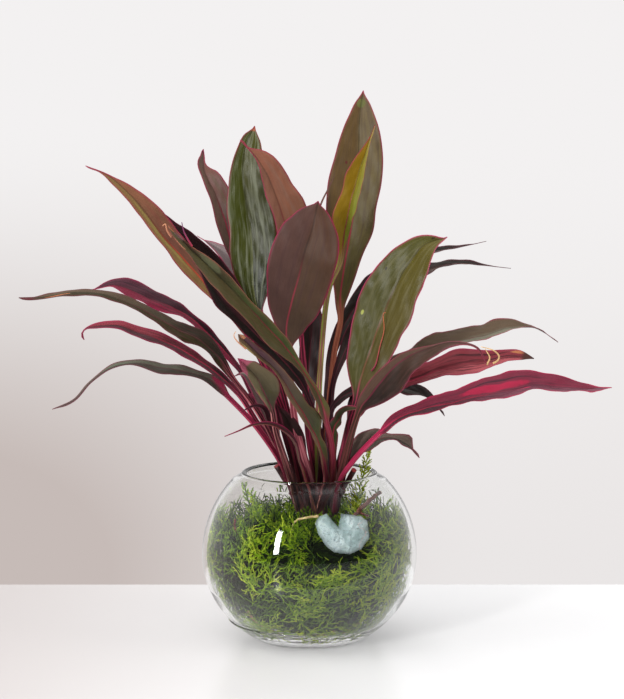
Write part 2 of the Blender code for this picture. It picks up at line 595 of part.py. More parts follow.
def packed_sprigs(canes, kept_clear, finish, collection):
    """The core with a plain hole for each cane, and short sprigs that stand out of it on all sides."""
    body = turned("core", core_profile(), CORE_SIDES, collection)
    holes = []
    for cane in canes:
        foot = (cane[0][0], cane[0][1], HOLE_FLOOR)
        radius = CANE_RADIUS + HOLE_PLAY
        holes.append(stem("hole", (foot, *cane[1:]), radius, radius, 2, CANE_STEPS, collection))
    body = fuse("core", body, holes, finish, "DIFFERENCE")
    draw = random.Random(7)
    sprigs = []
    for row in range(SPRIG_ROWS):
        height = SPRIG_LOWEST + row * (SPRIG_HIGHEST - SPRIG_LOWEST) / (SPRIG_ROWS - 1)
        for k in range(SPRIG_RING):
            turn = 2 * math.pi * (k + 0.5 * (row % 2) + draw.uniform(-0.15, 0.15)) / SPRIG_RING
            out = Vector((math.cos(turn), math.sin(turn), 0))
            start = out * (inner_radius(height) - CORE_INSET - SPRIG_SUNK) + Vector((0, 0, height))
            sideways = Vector((-out.y, out.x, 0)) * draw.uniform(-0.7, 0.7)
            upwards = Vector((0, 0, draw.uniform(0.1, 0.9)))
            end = start + (out + sideways + upwards).normalized() * (SPRIG_LENGTH + SPRIG_SUNK)
            if near(end, kept_clear, TIP_CLEAR) or near(start, kept_clear, FOOT_CLEAR):
                continue
            if math.hypot(end.x, end.y) > inner_radius(end.z) - GLASS_CLEAR:
                continue
            sprigs.append(sprig(start, end, SPRIG_RADIUS, collection))
    for ring, number in TOP_RINGS:
        for k in range(number):
            turn = 2 * math.pi * (k + draw.uniform(-0.2, 0.2)) / number
            out = Vector((math.cos(turn), math.sin(turn), 0))
            start = out * ring + Vector((0, 0, CORE_TOP - SPRIG_SUNK - 1))
            lean = out * 6 + Vector((draw.uniform(-5, 5), draw.uniform(-5, 5), TOP_SPRIG_RISE))
            if not near(start + lean, kept_clear, TIP_CLEAR):
                sprigs.append(sprig(start, start + lean, SPRIG_RADIUS, collection))
    return fuse("packed_sprigs", body, sprigs, finish)


def twig(row, collection):
    name, radius, colour, routes = row
    finish = material(name + "_bark", colour, 0.7)
    base = stem(name + "_stem", seated(routes[0], radius), radius, radius * 0.75, 1, 8, collection)
    others = [stem("side", route, radius * 0.6, radius * 0.4, 1, 3, collection) for route in routes[1:]]
    return fuse(name, base, others, finish)


def chunk(collection):
    """A pale slab with a notch in its top, leaning against the inside of the glass."""
    outline = bpy.data.curves.new("chunk", "CURVE")
    outline.dimensions = "2D"
    outline.fill_mode = "BOTH"
    outline.extrude = CHUNK_THICKNESS / 2 * MM
    line = outline.splines.new("POLY")
    line.points.add(len(CHUNK_OUTLINE) - 1)
    line.use_cyclic_u = True
    for point, (x, z) in zip(line.points, CHUNK_OUTLINE):
        point.co = (x * MM, z * MM, 0, 1)
    item = bpy.data.objects.new("chunk_outline", outline)
    collection.objects.link(item)
    finish = material("pale_chunk", (0.80, 0.84, 0.82), 0.25)
    made = as_mesh(item, "chunk", finish)
    bevel = made.modifiers.new("worn edges", "BEVEL")
    bevel.width = CHUNK_WEAR * MM
    bevel.segments = 1
    made.rotation_euler = (math.radians(90 - CHUNK_LEAN), 0, math.radians(CHUNK_TURN))
    made.location = Vector(CHUNK_CENTRE) * MM
    return made


def main():
    clear_scene()
    plant = bpy.data.collections.new("potted_cordyline")
    bpy.context.scene.collection.children.link(plant)
    bowl(plant)
    shoot("shoot_left", LEFT_COLOUR, LEFT_CANE, LEFT_LEAVES, (LEFT_STUB,), plant)
    shoot("shoot_back_left", BACK_LEFT_COLOUR, BACK_LEFT_CANE, BACK_LEFT_LEAVES, (), plant)
    shoot("shoot_front", FRONT_COLOUR, FRONT_CANE, FRONT_LEAVES, (), plant)
    shoot("shoot_back", BACK_COLOUR, BACK_CANE, BACK_LEAVES, (), plant)
    shoot("shoot_right", RIGHT_COLOUR, RIGHT_CANE, RIGHT_LEAVES, (RIGHT_STUB,), plant)
    needles = material("conifer_green", GREEN, 0.6)
    routes = [route_at(seated(row[3], SPRAY_THICKNESS / 2), 12) for row in SPRAYS]
    routes += [route_at(seated(row[3][0], row[1]), 8) for row in TWIGS]
    # The chunk's back face runs away from the viewer to the right.
    behind = math.tan(math.radians(CHUNK_TURN))
    chunk_points = []
    for x in (-30, -15, 0, 15, 30):
        for z in (-20, 0, 20):
            chunk_points.append(Vector(CHUNK_CENTRE) + Vector((x, behind * x + 4, z)))
    canes = (LEFT_CANE, BACK_LEFT_CANE, FRONT_CANE, BACK_CANE, RIGHT_CANE)
    packed_sprigs(canes, routes + [chunk_points], needles, plant)
    for row in SPRAYS:
        spray(row, needles, plant)
    for row in TWIGS:
        twig(row, plant)
    chunk(plant)


main()
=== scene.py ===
"""Potted cordyline: red ti plant shoots in a clear glass fishbowl vase packed with conifer sprigs."""

import math

import bpy
import numpy as np
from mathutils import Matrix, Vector, geometry


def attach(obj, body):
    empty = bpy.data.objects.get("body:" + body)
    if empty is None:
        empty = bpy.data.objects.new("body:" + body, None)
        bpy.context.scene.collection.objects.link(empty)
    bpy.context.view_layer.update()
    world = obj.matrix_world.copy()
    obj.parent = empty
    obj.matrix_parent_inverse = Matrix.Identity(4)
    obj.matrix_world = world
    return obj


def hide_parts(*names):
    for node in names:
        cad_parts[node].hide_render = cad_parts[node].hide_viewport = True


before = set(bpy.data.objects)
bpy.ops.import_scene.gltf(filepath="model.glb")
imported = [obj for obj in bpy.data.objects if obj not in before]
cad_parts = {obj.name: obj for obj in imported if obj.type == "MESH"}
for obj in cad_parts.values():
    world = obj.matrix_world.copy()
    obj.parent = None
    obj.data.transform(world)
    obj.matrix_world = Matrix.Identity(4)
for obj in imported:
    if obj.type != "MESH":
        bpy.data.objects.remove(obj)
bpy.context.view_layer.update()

# The room: the photo looks slightly down on the vase from two metres away with a long lens. The plant stands
# on a glossy white table before a pale wall, lit by a tall narrow lamp on the left and soft light above.
MM = 0.001
PHOTO_EYE = np.array((3.0, -2100.0, 554.0))
LOOKS_DOWN = 5.9
FOCAL_PIXELS = 1830
PHOTO_HEIGHT = 699
SENSOR = 36
GLASS_BOUNCES = 32
MIRROR_BOUNCES = 16
TABLE_FRONT = -0.28
TABLE_BACK = 0.26
TABLE_TOP = -0.0004
ROOM_REACH = 9.0
LAMPS_AIM = Vector((0, 0, 0.3))

camera = bpy.data.objects.new("photo_camera", bpy.data.cameras.new("photo_camera"))
camera.data.sensor_width = SENSOR
camera.data.lens = SENSOR * FOCAL_PIXELS / PHOTO_HEIGHT
camera.location = PHOTO_EYE * MM
camera.rotation_euler = (math.radians(90 - LOOKS_DOWN), 0, 0)
bpy.context.scene.collection.objects.link(camera)
bpy.context.scene.camera = camera
bpy.context.scene.view_settings.view_transform = "Standard"
# Light caught between the two faces of the glass turns back many times before it leaves.
cycles = bpy.context.scene.cycles
cycles.max_bounces = cycles.transmission_bounces = cycles.transparent_max_bounces = GLASS_BOUNCES
cycles.glossy_bounces = MIRROR_BOUNCES


def paint(red, green, blue):
    """A colour as picked on a screen, 0 to 255, in the linear values that shaders use."""
    return tuple(((c / 255 + 0.055) / 1.055) ** 2.4 if c > 10 else c / 3295 for c in (red, green, blue))


class Wire:
    """A socket of the shader being made, with the operators that its maths uses."""

    def __init__(self, shader, socket):
        self.shader = shader
        self.socket = socket

    def maths(self, operation, first, second):
        return self.shader.node("Math", {"operation": operation}, {0: first, 1: second})

    def __add__(self, other):
        return self.maths("ADD", self, other)

    __radd__ = __add__

    def __sub__(self, other):
        return self.maths("SUBTRACT", self, other)

    def __rsub__(self, other):
        return self.maths("SUBTRACT", other, self)

    def __mul__(self, other):
        return self.maths("MULTIPLY", self, other)

    __rmul__ = __mul__

    def __abs__(self):
        return self.shader.node("Math", {"operation": "ABSOLUTE"}, {0: self})

    def rise(self, low, high):
        """0 below low, 1 above high, and a smooth step between. It falls instead where low is above high."""
        ends = {0: self, 1: min(low, high), 2: max(low, high)}
        step = self.shader.node("MapRange", {"interpolation_type": "SMOOTHSTEP"}, ends)
        return step if low < high else 1 - step


class Shader:
    """A tree of shader nodes, and what it takes to build the wires in it."""

    def __init__(self, tree):
        self.tree = tree

    def node(self, kind, settings, inputs, output=0):
        made = self.tree.nodes.new("ShaderNode" + kind)
        for setting, value in settings.items():
            setattr(made, setting, value)
        for socket, value in inputs.items():
            self.feed(made.inputs[socket], value)
        return Wire(self, made.outputs[output])

    def feed(self, socket, value):
        if isinstance(value, Wire):
            self.tree.links.new(value.socket, socket)
        elif isinstance(value, tuple) and socket.type == "RGBA":
            socket.default_value = (*value, 1)
        else:
            socket.default_value = value

    def parts(self, vector):
        """The x, y and z of a vector."""
        return [Wire(self, part) for part in self.node("SeparateXYZ", {}, {0: vector}).socket.node.outputs]

    def mix(self, share, first, second):
        """The first colour where share is 0 and the second where it is 1."""
        return self.node("Mix", {"data_type": "RGBA"}, {0: share, 6: first, 7: second}, 2)

    def shade(self, colour, value):
        """The colour made lighter or darker by a value round 1."""
        return self.node("VectorMath", {"operation": "SCALE"}, {0: colour, 3: value})

    def stretched(self, vector, scale):
        return self.node("VectorMath", {"operation": "MULTIPLY"}, {0: vector, 1: scale})

    def noise(self, vector, scale, detail=2.0, roughness=0.5):
        inputs = {"Vector": vector, "Scale": scale, "Detail": detail, "Roughness": roughness}
        return self.node("TexNoise", {}, inputs)


class Finish(Shader):
    """A material: one Principled shader and the tree that feeds it."""

    def __init__(self, name, **constants):
        self.material = bpy.data.materials.new(name)
        self.material.use_nodes = True
        super().__init__(self.material.node_tree)
        self.principled = self.tree.nodes["Principled BSDF"]
        for socket, value in constants.items():
            self.set(socket.replace("_", " "), value)

    def set(self, socket, value):
        self.feed(self.principled.inputs[socket], value)

    def place(self):
        return self.node("TexCoord", {}, {}, "Object")

    def kept(self, name, output="Fac"):
        """A value that the mesh keeps at each point."""
        return self.node("Attribute", {"attribute_name": name}, {}, output)

    def relief(self, height, strength, distance):
        bump = {"Strength": strength, "Distance": distance, "Height": height}
        self.set("Normal", self.node("Bump", {}, bump))


# The table glows faintly white: painted light that brightens it and its reflection in the glass.
table_finish = Finish("white_table", Roughness=0.24, Specular_IOR_Level=0.5, Emission_Color=(1.0, 1.0, 1.0),
                      Emission_Strength=0.16)
table_place = table_finish.place()
table_tone = table_finish.noise(table_place, 3.0, 4.0)
table_white = table_finish.mix(table_tone, paint(228, 227, 227), paint(238, 238, 238))
# Its left side is painted darker, a painted shade that fades out to the right.
painted_shade_fade = table_finish.parts(table_place)[0].rise(-0.5, 0.2)
table_finish.set("Base Color", table_finish.mix(painted_shade_fade, paint(178, 168, 165), table_white))
# The part of the table beyond its front edge is there for the floor, and the vase doesn't reflect it.
for name, near, far in (("table", TABLE_FRONT, TABLE_BACK), ("table_front", -ROOM_REACH, TABLE_FRONT)):
    mesh = bpy.data.meshes.new(name)
    corners = [(-ROOM_REACH, near), (ROOM_REACH, near), (ROOM_REACH, far), (-ROOM_REACH, far)]
    mesh.from_pydata([(x, y, TABLE_TOP) for x, y in corners], [], [(0, 1, 2, 3)])
    mesh.materials.append(table_finish.material)
    table = bpy.data.objects.new(name, mesh)
    table.visible_glossy = name == "table"
    bpy.context.scene.collection.objects.link(table)

# The wall is brighter towards its top and right, and a soft pinkish shadow lies on it at the lower left. It
# is bright where it is looked at, and the room is dim in reflections, apart from its lamps.
room = bpy.data.worlds.new("pale_room")
room.use_nodes = True
sky = Shader(room.node_tree)
sky_x, sky_y, sky_z = sky.parts(sky.node("TexCoord", {}, {}, "Generated"))
shadow_left, shadow_low, behind = sky_x.rise(0.1, -0.2), sky_z.rise(0.02, -0.22), sky_y.rise(-0.5, 0.15)
wall = sky.mix(shadow_left * shadow_low + shadow_low * 0.22, paint(243, 241, 241), paint(198, 187, 183))
dim_room = sky.mix(behind, (0.08, 0.08, 0.08), (0.7, 0.69, 0.69))
mirrored, through, scattered = [
    sky.node("LightPath", {}, {}, "Is %s Ray" % kind) for kind in ("Glossy", "Transmission", "Diffuse")
]
mirrored = sky.node("Math", {"operation": "SUBTRACT", "use_clamp": True}, {0: mirrored, 1: through})
# The inner face of the glass mirrors the dim room in front too, and that light leaves by the outer face.
seen = sky.mix(through * (1 - behind) + mirrored, wall, dim_room)
sky.feed(room.node_tree.nodes["Background"].inputs["Color"], sky.mix(scattered, seen, (0.42, 0.42, 0.43)))
bpy.context.scene.world = room
for name, place, wide, tall, power in (
    ("strip_left", (-1.42, -2.02, 0.98), 0.24, 1.0, 34),
    ("soft_above", (-0.3, -0.4, 2.6), 2.8, 2.6, 48),
    ("soft_right", (2.1, -0.9, 0.9), 0.7, 1.2, 10),
    ("soft_behind", (-0.9, 2.2, 1.3), 1.2, 1.0, 14),
):
    lamp = bpy.data.lights.new(name, "AREA")
    lamp.shape = "RECTANGLE"
    lamp.size = wide
    lamp.size_y = tall
    lamp.energy = power
    holder = bpy.data.objects.new(name, lamp)
    holder.location = place
    # Only the strip is mirrored in the glass and seen through it.
    holder.visible_glossy = holder.visible_transmission = name == "strip_left"
    holder.rotation_euler = (LAMPS_AIM - Vector(place)).to_track_quat("-Z", "Y").to_euler()
    bpy.context.scene.collection.objects.link(holder)

# The vase: a blown fishbowl of clear glass, thicker at its foot, with a fire-rounded lip. A thread of glass
# was trailed on low down, from the front round the left to the back, and it stands a little proud.
BOWL_RADIUS = 125.0
BOWL_HEIGHT = 195.0
BELLY_HEIGHT = 98.0
LOWER_REACH = 113.0
UPPER_REACH = 126.0
FOOT_RADIUS = 61.0
WALL = 4.5
THICK_BELOW = 60.0
FOOT_THICKENING = 3.0
FLOOR = 10.0
FLOOR_RADIUS = 40.0
FLOOR_CORNER = 75.6
LIP_RADIUS = 3.2
LIP_CENTRE_RADIUS = 76.0
TRAIL_HEIGHT = 22.0
TRAIL_RADIUS = 1.9
TRAIL_SPREAD = TRAIL_RADIUS * 1.25
TRAIL_FROM = -93
TRAIL_TO = -256
INSIDE_HEIGHTS = range(26, 186, 2)
OUTSIDE_HEIGHTS = range(186, 25, -2)
FOOT_HEIGHTS = (16, 12, 8, 5, 3, 1.6, 0.6)
FLOOR_RINGS = (0, 10, 20, 30)
BEND_STEPS = 12
LIP_STEP = 20
BOWL_SIDES = 144
SMUDGE_ROUGHNESS = 0.01


def outer_radius(height):
    """The outside of the glass: two half ellipses that meet at the belly."""
    reach = np.where(height < BELLY_HEIGHT, LOWER_REACH, UPPER_REACH)
    return BOWL_RADIUS * np.sqrt(1 - ((BELLY_HEIGHT - height) / reach) ** 2)


def inner_radius(height):
    """The inside of the glass, which thickens towards the base."""
    thick = WALL + FOOT_THICKENING * np.maximum(0.0, 1 - height / THICK_BELOW)
    return outer_radius(height) - thick


def bowl_profile():
    """Points (radius, height) from the middle of the floor up the inside, over the lip and down outside."""
    inside = [(float(inner_radius(h)), h) for h in INSIDE_HEIGHTS]
    flat, corner, side = (np.array(p) for p in ((FLOOR_RADIUS, FLOOR), (FLOOR_CORNER, FLOOR), inside[0]))
    shares = np.arange(BEND_STEPS) / BEND_STEPS
    bend = [flat * (1 - t) ** 2 + corner * 2 * t * (1 - t) + side * t**2 for t in shares]
    floor = [(r, FLOOR) for r in FLOOR_RINGS] + [tuple(p) for p in bend]
    lip = []
    for degrees in range(180, -1, -LIP_STEP):
        turn = math.radians(degrees)
        height = BOWL_HEIGHT - LIP_RADIUS + LIP_RADIUS * math.sin(turn)
        lip.append((LIP_CENTRE_RADIUS + LIP_RADIUS * math.cos(turn), height))
    near_trail = [TRAIL_HEIGHT + TRAIL_SPREAD * k / 4 for k in range(5, -6, -1)]
    outside = [(float(outer_radius(h)), h) for h in (*OUTSIDE_HEIGHTS, *near_trail, *FOOT_HEIGHTS)]
    base = [(r, 0.0) for r in (FOOT_RADIUS - 1, FOOT_RADIUS - 8, 30, 0.0)]
    return [*floor, *inside, *lip, *outside, *base]


def add_piece(name, points, faces, finish, stands_for, smooth=True, kept=()):
    """A mesh piece in millimetres. kept lists (name, type, values) for what its points keep."""
    mesh = bpy.data.meshes.new(name)
    mesh.from_pydata(np.asarray(points, float) * MM, [], faces)
    for label, kind, values in kept:
        layer = mesh.attributes.new(label, kind, "POINT")
        values = np.asarray(values, np.float32).ravel()
        layer.data.foreach_set("value" if kind == "FLOAT" else "vector", values)
    mesh.polygons.foreach_set("use_smooth", [smooth] * len(mesh.polygons))
    mesh.materials.append(finish.material)
    piece = bpy.data.objects.new(name, mesh)
    bpy.context.scene.collection.objects.link(piece)
    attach(piece, "root")
    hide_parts(stands_for)
    return piece


def add_bowl():
    finish = Finish("vase_glass", Base_Color=(0.985, 0.995, 0.99), Transmission_Weight=1.0, IOR=1.47)
    smudges = finish.noise(finish.place(), 22.0, 5.0, 0.65).rise(0.55, 0.8)
    finish.set("Roughness", smudges * SMUDGE_ROUGHNESS)
    # Lamps shine straight through the glass, so what is packed inside it is lit as in a real vase.
    clear = finish.node("BsdfTransparent", {}, {"Color": (0.97, 0.98, 0.975)})
    lit = finish.node("LightPath", {}, {}, "Is Shadow Ray")
    glass = Wire(finish, finish.principled.outputs[0])
    both = finish.node("MixShader", {}, {0: lit, 1: glass, 2: clear})
    finish.tree.links.new(both.socket, finish.tree.nodes["Material Output"].inputs["Surface"])
    profile = np.array(bowl_profile())
    turns = np.radians(np.arange(BOWL_SIDES) * 360 / BOWL_SIDES)
    radius, height = profile[:, 0][:, None], profile[:, 1][:, None]
    # The trail is a round swelling of the outer face, between its two ends.
    behind = np.degrees(turns)[None, :] % 360
    on_trail = (behind <= TRAIL_FROM % 360) & (behind >= TRAIL_TO % 360)
    outside = radius > inner_radius(height) + 1
    hump = np.clip(1 - ((height - TRAIL_HEIGHT) / TRAIL_SPREAD) ** 2, 0, None) ** 0.5
    radius = radius + TRAIL_RADIUS * hump * on_trail * outside
    points = np.stack([radius * np.cos(turns), radius * np.sin(turns), height + 0 * turns], axis=-1)
    rows = len(profile)
    faces = []
    for row in range(rows - 1):
        for side in range(BOWL_SIDES):
            after = (side + 1) % BOWL_SIDES
            a, b = row * BOWL_SIDES, (row + 1) * BOWL_SIDES
            # The first and last rows close to a point on the axis.
            if row == 0:
                faces.append((a, b + side, b + after))
            elif row == rows - 2:
                faces.append((a + side, b, a + after))
            else:
                faces.append((a + side, b + side, b + after, a + after))
    flat = points.reshape(-1, 3)
    used = sorted({i for face in faces for i in face})
    new = {old: i for i, old in enumerate(used)}
    faces = [tuple(new[i] for i in face) for face in faces]
    return add_piece("vase", flat[used], faces, finish, "bowl")


add_bowl()

# The bed: conifer sprigs pushed into the vase until they hold each other. A lump painted near-black green
# fills
# the middle, painted shade for the depths of the tangle, and the outer sprigs arch along the inside of the
# glass:
# thin stems with scaly branchlets on both sides.
# More sprigs stand up all over its top, a little higher on the right, round the foot of the shoots.
BED_TOP = 142.0
BED_FLOOR = 21.0
GLASS_GAP = 0.6
SKEW = (0.31, 0.17, 0.94)
SPRIG_FLOOR = 15
SPRIG_CEILING = 170
# The darkest greens serve as painted shade for sprigs deep in the bed.
SPRIG_GREENS = (paint(6, 12, 2), paint(36, 60, 4), paint(112, 144, 12), paint(176, 190, 52))
BRANCH_STEPS = 6
BRANCH_LENGTHS = (0.72, 1.15)
BRANCH_SPLAYS = (0.5, 1.25)
BRANCH_BENDS = (0.5, 1.0)
BRANCH_SWAY = 0.08
BRANCH_RADII = (0.85, 1.15)
SHORTER_TO_TIP = 0.62
THINNER_TO_TIP = 0.45
SCALE_SWELL = 0.12
TIPS = 4
TIP_STEPS = 3
TIP_SHARE = 0.26
TIP_TONES = (0.0, 0.08, 0.22)
STEM_TONE = 0.75
TONE_SPREAD = 0.16
TONE_TO_TIP = (-0.1, 0.2)


def smooth_route(waypoints, count):
    """count points, evenly spaced on a smooth curve through the waypoints, from the first to the last."""
    ends = np.array(waypoints, float)
    ends = np.concatenate([2 * ends[:1] - ends[1:2], ends, 2 * ends[-1:] - ends[-2:-1]])
    a, b, c, d = ends[:-3], ends[1:-2], ends[2:-1], ends[3:]
    t = np.arange(12)[:, None, None] / 12
    square = (2 * a - 5 * b + 4 * c - d) * t**2
    cube = (3 * b - a - 3 * c + d) * t**3
    dense = (2 * b + (c - a) * t + square + cube) / 2
    dense = np.concatenate([dense.transpose(1, 0, 2).reshape(-1, 3), ends[-2:-1]])
    lengths = np.concatenate([[0], np.cumsum(np.linalg.norm(np.diff(dense, axis=0), axis=1))])
    wanted = np.linspace(0, lengths[-1], count)
    return np.stack([np.interp(wanted, lengths, dense[:, k]) for k in range(3)], axis=1)


def unit(vectors):
    return vectors / np.maximum(np.linalg.norm(vectors, axis=-1, keepdims=True), 1e-9)


def headings(places):
    """The direction of travel at each place of routes, whose places run along the last axis but one."""
    return unit(np.gradient(places, axis=-2))


def ring_faces(index):
    """Four-sided faces between the rings of a grid of points, whose last axis closes up."""
    after = np.roll(index, -1, axis=-1)
    corners = [index[..., :-1, :], after[..., :-1, :], after[..., 1:, :], index[..., 1:, :]]
    return np.stack(corners, axis=-1).reshape(-1, 4)


def tubes(places, radii, sides):
    """Points, sides and ends of round tubes. places is (routes, places, 3) and radii (routes, places)."""
    many, steps, _ = places.shape
    ahead = headings(places)
    side = unit(np.cross(ahead, SKEW))
    up = np.cross(ahead, side)
    turn = 2 * np.pi * np.arange(sides) / sides
    ring = side[:, :, None] * np.cos(turn)[:, None] + up[:, :, None] * np.sin(turn)[:, None]
    points = places[:, :, None] + ring * radii[:, :, None, None]
    index = np.arange(many * steps * sides).reshape(many, steps, sides)
    ends = np.concatenate([index[:, 0, ::-1], index[:, -1]])
    return points.reshape(-1, 3), ring_faces(index), ends


def add_tubes(name, groups, finish, stands_for, inside=True):
    """One piece from groups of (places, radii, sides, tone at each place). inside keeps it off the glass."""
    points, faces, tones = [], [], []
    count = 0
    for places, radii, sides, tone in groups:
        more, round_faces, ends = tubes(places, radii, sides)
        points.append(more)
        faces += (round_faces + count).tolist() + (ends + count).tolist()
        tones.append(np.repeat(tone.reshape(-1), sides))
        count += len(more)
    points = np.concatenate(points)
    if inside:
        reach = np.hypot(points[:, 0], points[:, 1])
        room_left = inner_radius(np.clip(points[:, 2], 14, 186)) - GLASS_GAP
        pressed = np.minimum(1, room_left / np.maximum(reach, 1e-6))
        points[:, :2] *= pressed[:, None]
        points[:, 2] = np.maximum(points[:, 2], FLOOR + GLASS_GAP)
    kept = (("tone", "FLOAT", np.concatenate(tones)),)
    return add_piece(name, points, faces, finish, stands_for, kept=kept)


def sprig_finish(name):
    """Living green: each branchlet and clump its own tone, tips lighter; painted light brightens the right.
    """
    finish = Finish(name, Specular_IOR_Level=0.06)
    patch = finish.noise(finish.place(), 34.0, 2.0)
    # The tone rises from left to right: painted shade on the left of the bed and painted light on its right.
    tone = finish.kept("tone") + (patch - 0.5) * 0.9 + finish.parts(finish.place())[0] * 0.7
    colour = finish.mix(tone.rise(0.0, 0.45), SPRIG_GREENS[0], SPRIG_GREENS[1])
    colour = finish.mix(tone.rise(0.35, 0.8), colour, SPRIG_GREENS[2])
    colour = finish.mix(tone.rise(0.8, 1.25), colour, SPRIG_GREENS[3])
    scales = finish.noise(finish.place(), 900.0, 1.0)
    finish.set("Base Color", finish.shade(colour, 0.72 + scales * 0.56))
    finish.set("Roughness", 0.4 + patch * 0.25)
    finish.relief(scales, 0.5, 0.0006)
    return finish


def outward(places):
    return unit(places * (1, 1, 0.0) + 1e-6)


def branches(draw, routes, feet, reach, lean, splay, flat, radius, steps, facing=None):
    """Branchlets on routes, alternately left and right: their places (routes, feet, steps, 3) and radii.

    feet is how many grow on each route, and reach is how long the lowest are. They point ahead by lean and
    aside by splay, and leave their plane by up to flat. They spread square to facing, or else to the way out
    of the vase.
    """
    share = np.linspace(0, 1, routes.shape[1])
    at = (np.arange(feet) + 0.7) / (feet + 0.3)
    foot = np.stack([np.stack([np.interp(at, share, r[:, k]) for k in range(3)], axis=1) for r in routes])
    ahead = headings(foot)
    across = unit(np.cross(ahead, outward(foot) if facing is None else facing))
    normal = np.cross(across, ahead)
    way = np.where(np.arange(feet) % 2, 1.0, -1.0)[None, :, None]
    many = len(routes)
    size = reach * (1 - SHORTER_TO_TIP * at**1.5)[None, :] * (0.6 + 0.4 * np.minimum(1, at * 5))[None, :]
    size = (size * draw.uniform(*BRANCH_LENGTHS, (many, feet)))[..., None]
    splay = splay * draw.uniform(*BRANCH_SPLAYS, (many, feet, 1))
    start = ahead * lean + across * way * splay + normal * draw.uniform(-flat, flat, (many, feet, 1))
    bend = ahead * 0.55 - across * way * 0.25 + normal * draw.uniform(-flat, flat, (many, feet, 1)) * 0.6
    start, bend = unit(start) * size, bend * size * draw.uniform(*BRANCH_BENDS, (many, feet, 1))
    sway = across * draw.uniform(-BRANCH_SWAY, BRANCH_SWAY, (many, feet, 1)) * size
    t = np.linspace(0, 1, steps)[None, None, :, None]
    places = foot[:, :, None] + start[:, :, None] * t + bend[:, :, None] * t**2 * 0.5
    places = places + sway[:, :, None] * np.sin(2 * np.pi * t)
    # The overlapping scales make each branchlet swell and narrow along its length.
    thinned = 1 - THINNER_TO_TIP * np.linspace(0, 1, steps) ** 2
    knots = thinned + SCALE_SWELL * np.cos(np.arange(steps) * np.pi)
    radii = radius * knots[None, None, :] * draw.uniform(*BRANCH_RADII, (many, feet, 1))
    return places, radii


def sprays(draw, routes, spacing, reach, tone, radius=0.6, flat=0.35, feathery=True, facing=None):
    """Tube groups for sprays along routes (routes, places, 3), whose mean lightness is tone."""
    many, steps, _ = routes.shape
    length = np.linalg.norm(np.diff(routes, axis=1), axis=2).sum(axis=1).mean()
    share = np.linspace(0, 1, steps)
    stem_radius = radius * (1.1 - 0.5 * share) * np.ones((many, 1))
    groups = [(routes, stem_radius, 4, np.repeat(tone[:, None] * STEM_TONE, steps, axis=1))]
    feet = max(4, int(length / spacing))
    knots = BRANCH_STEPS
    places, radii = branches(draw, routes, feet, reach, 0.8, 0.75, flat, radius, knots, facing)
    each = tone[:, None, None] + draw.uniform(-TONE_SPREAD, TONE_SPREAD, (many, feet, 1))
    each = each + np.linspace(*TONE_TO_TIP, knots)
    places, radii, each = places.reshape(-1, knots, 3), radii.reshape(-1, knots), each.reshape(-1, knots)
    groups.append((places, radii, 3, each))
    if feathery:
        reach, radius = reach * TIP_SHARE, radius * 0.8
        small, thin = branches(draw, places, TIPS, reach, 0.85, 0.65, flat, radius, TIP_STEPS, facing)
        light = np.repeat(each[:, knots // 2], TIPS)[:, None] + np.array(TIP_TONES)
        groups.append((small.reshape(-1, TIP_STEPS, 3), thin.reshape(-1, TIP_STEPS), 3, light))
    return groups


# The chunk lies against the glass, turned and leaning back, and no sprig is in front of it.
CHUNK_CENTRE = (36.6, -92.5, 141)
CHUNK_TURN = math.radians(21.6)
CHUNK_LEAN = math.radians(90 - 19.7)
CHUNK_REACH = 36.0
CHUNK_CLEARANCE = 10
CHUNK_BACK = 17


def behind_chunk(routes):
    """The routes, pushed in where they would meet the chunk or stand in front of it."""
    face = np.array((math.sin(CHUNK_TURN), -math.cos(CHUNK_TURN), 0)) * math.sin(CHUNK_LEAN)
    face[2] = math.cos(CHUNK_LEAN)
    away = routes - CHUNK_CENTRE
    ahead = away @ face
    beside = np.linalg.norm(away - ahead[..., None] * face, axis=-1)
    near = np.clip((CHUNK_REACH + CHUNK_CLEARANCE - beside) / CHUNK_CLEARANCE, 0, 1)
    push = near * np.maximum(0, ahead + CHUNK_BACK)
    return routes - face * push[..., None]


ROUTE_STEPS = 10
ROUTE_CURL = 0.2
# The tangle's waves are given as (lobes round it, turn from row to row, height).
CORE_DEPTH = 21.0
CORE_TOP = BED_TOP - 16
CORE_ROWS = 40
CORE_TOP_ROWS = 10
CORE_SIDES = 120
CORE_WAVES = ((9, 0.7, 2.2), (17, 1.3, 2.0), (31, 2.1, 1.6), (43, 2.9, 1.2))


def wall_routes(draw, many, depth, length, low, high):
    """Routes that arch along the inside of the glass, this deep in, between two heights."""
    turn = draw.uniform(0, 2 * np.pi, many)
    height = draw.uniform(low, high, many)
    aim = np.where(draw.uniform(0, 1, many) < 0.5, 0.0, np.pi) + draw.normal(0.0, 0.5, many)
    aim = np.where(np.cos(aim) > 0, np.abs(aim), aim)
    curl = draw.normal(0, ROUTE_CURL, many)
    deep = draw.uniform(*depth, many)
    stride = draw.uniform(*length, many) / ROUTE_STEPS
    places = []
    for _ in range(ROUTE_STEPS):
        reach = inner_radius(np.clip(height, SPRIG_FLOOR, SPRIG_CEILING)) - deep
        places.append(np.stack([reach * np.cos(turn), reach * np.sin(turn), height], axis=1))
        turn = turn + np.cos(aim) * stride / reach
        height = height + np.sin(aim) * stride
        aim = np.where((height > high) & (np.sin(aim) > 0), -aim, aim)
        aim = np.where((height < low) & (np.sin(aim) < 0), -aim, aim)
        aim = aim + curl
        deep = np.maximum(1.0, deep + draw.normal(0, 0.8, many))
    return behind_chunk(np.stack(places, axis=1))


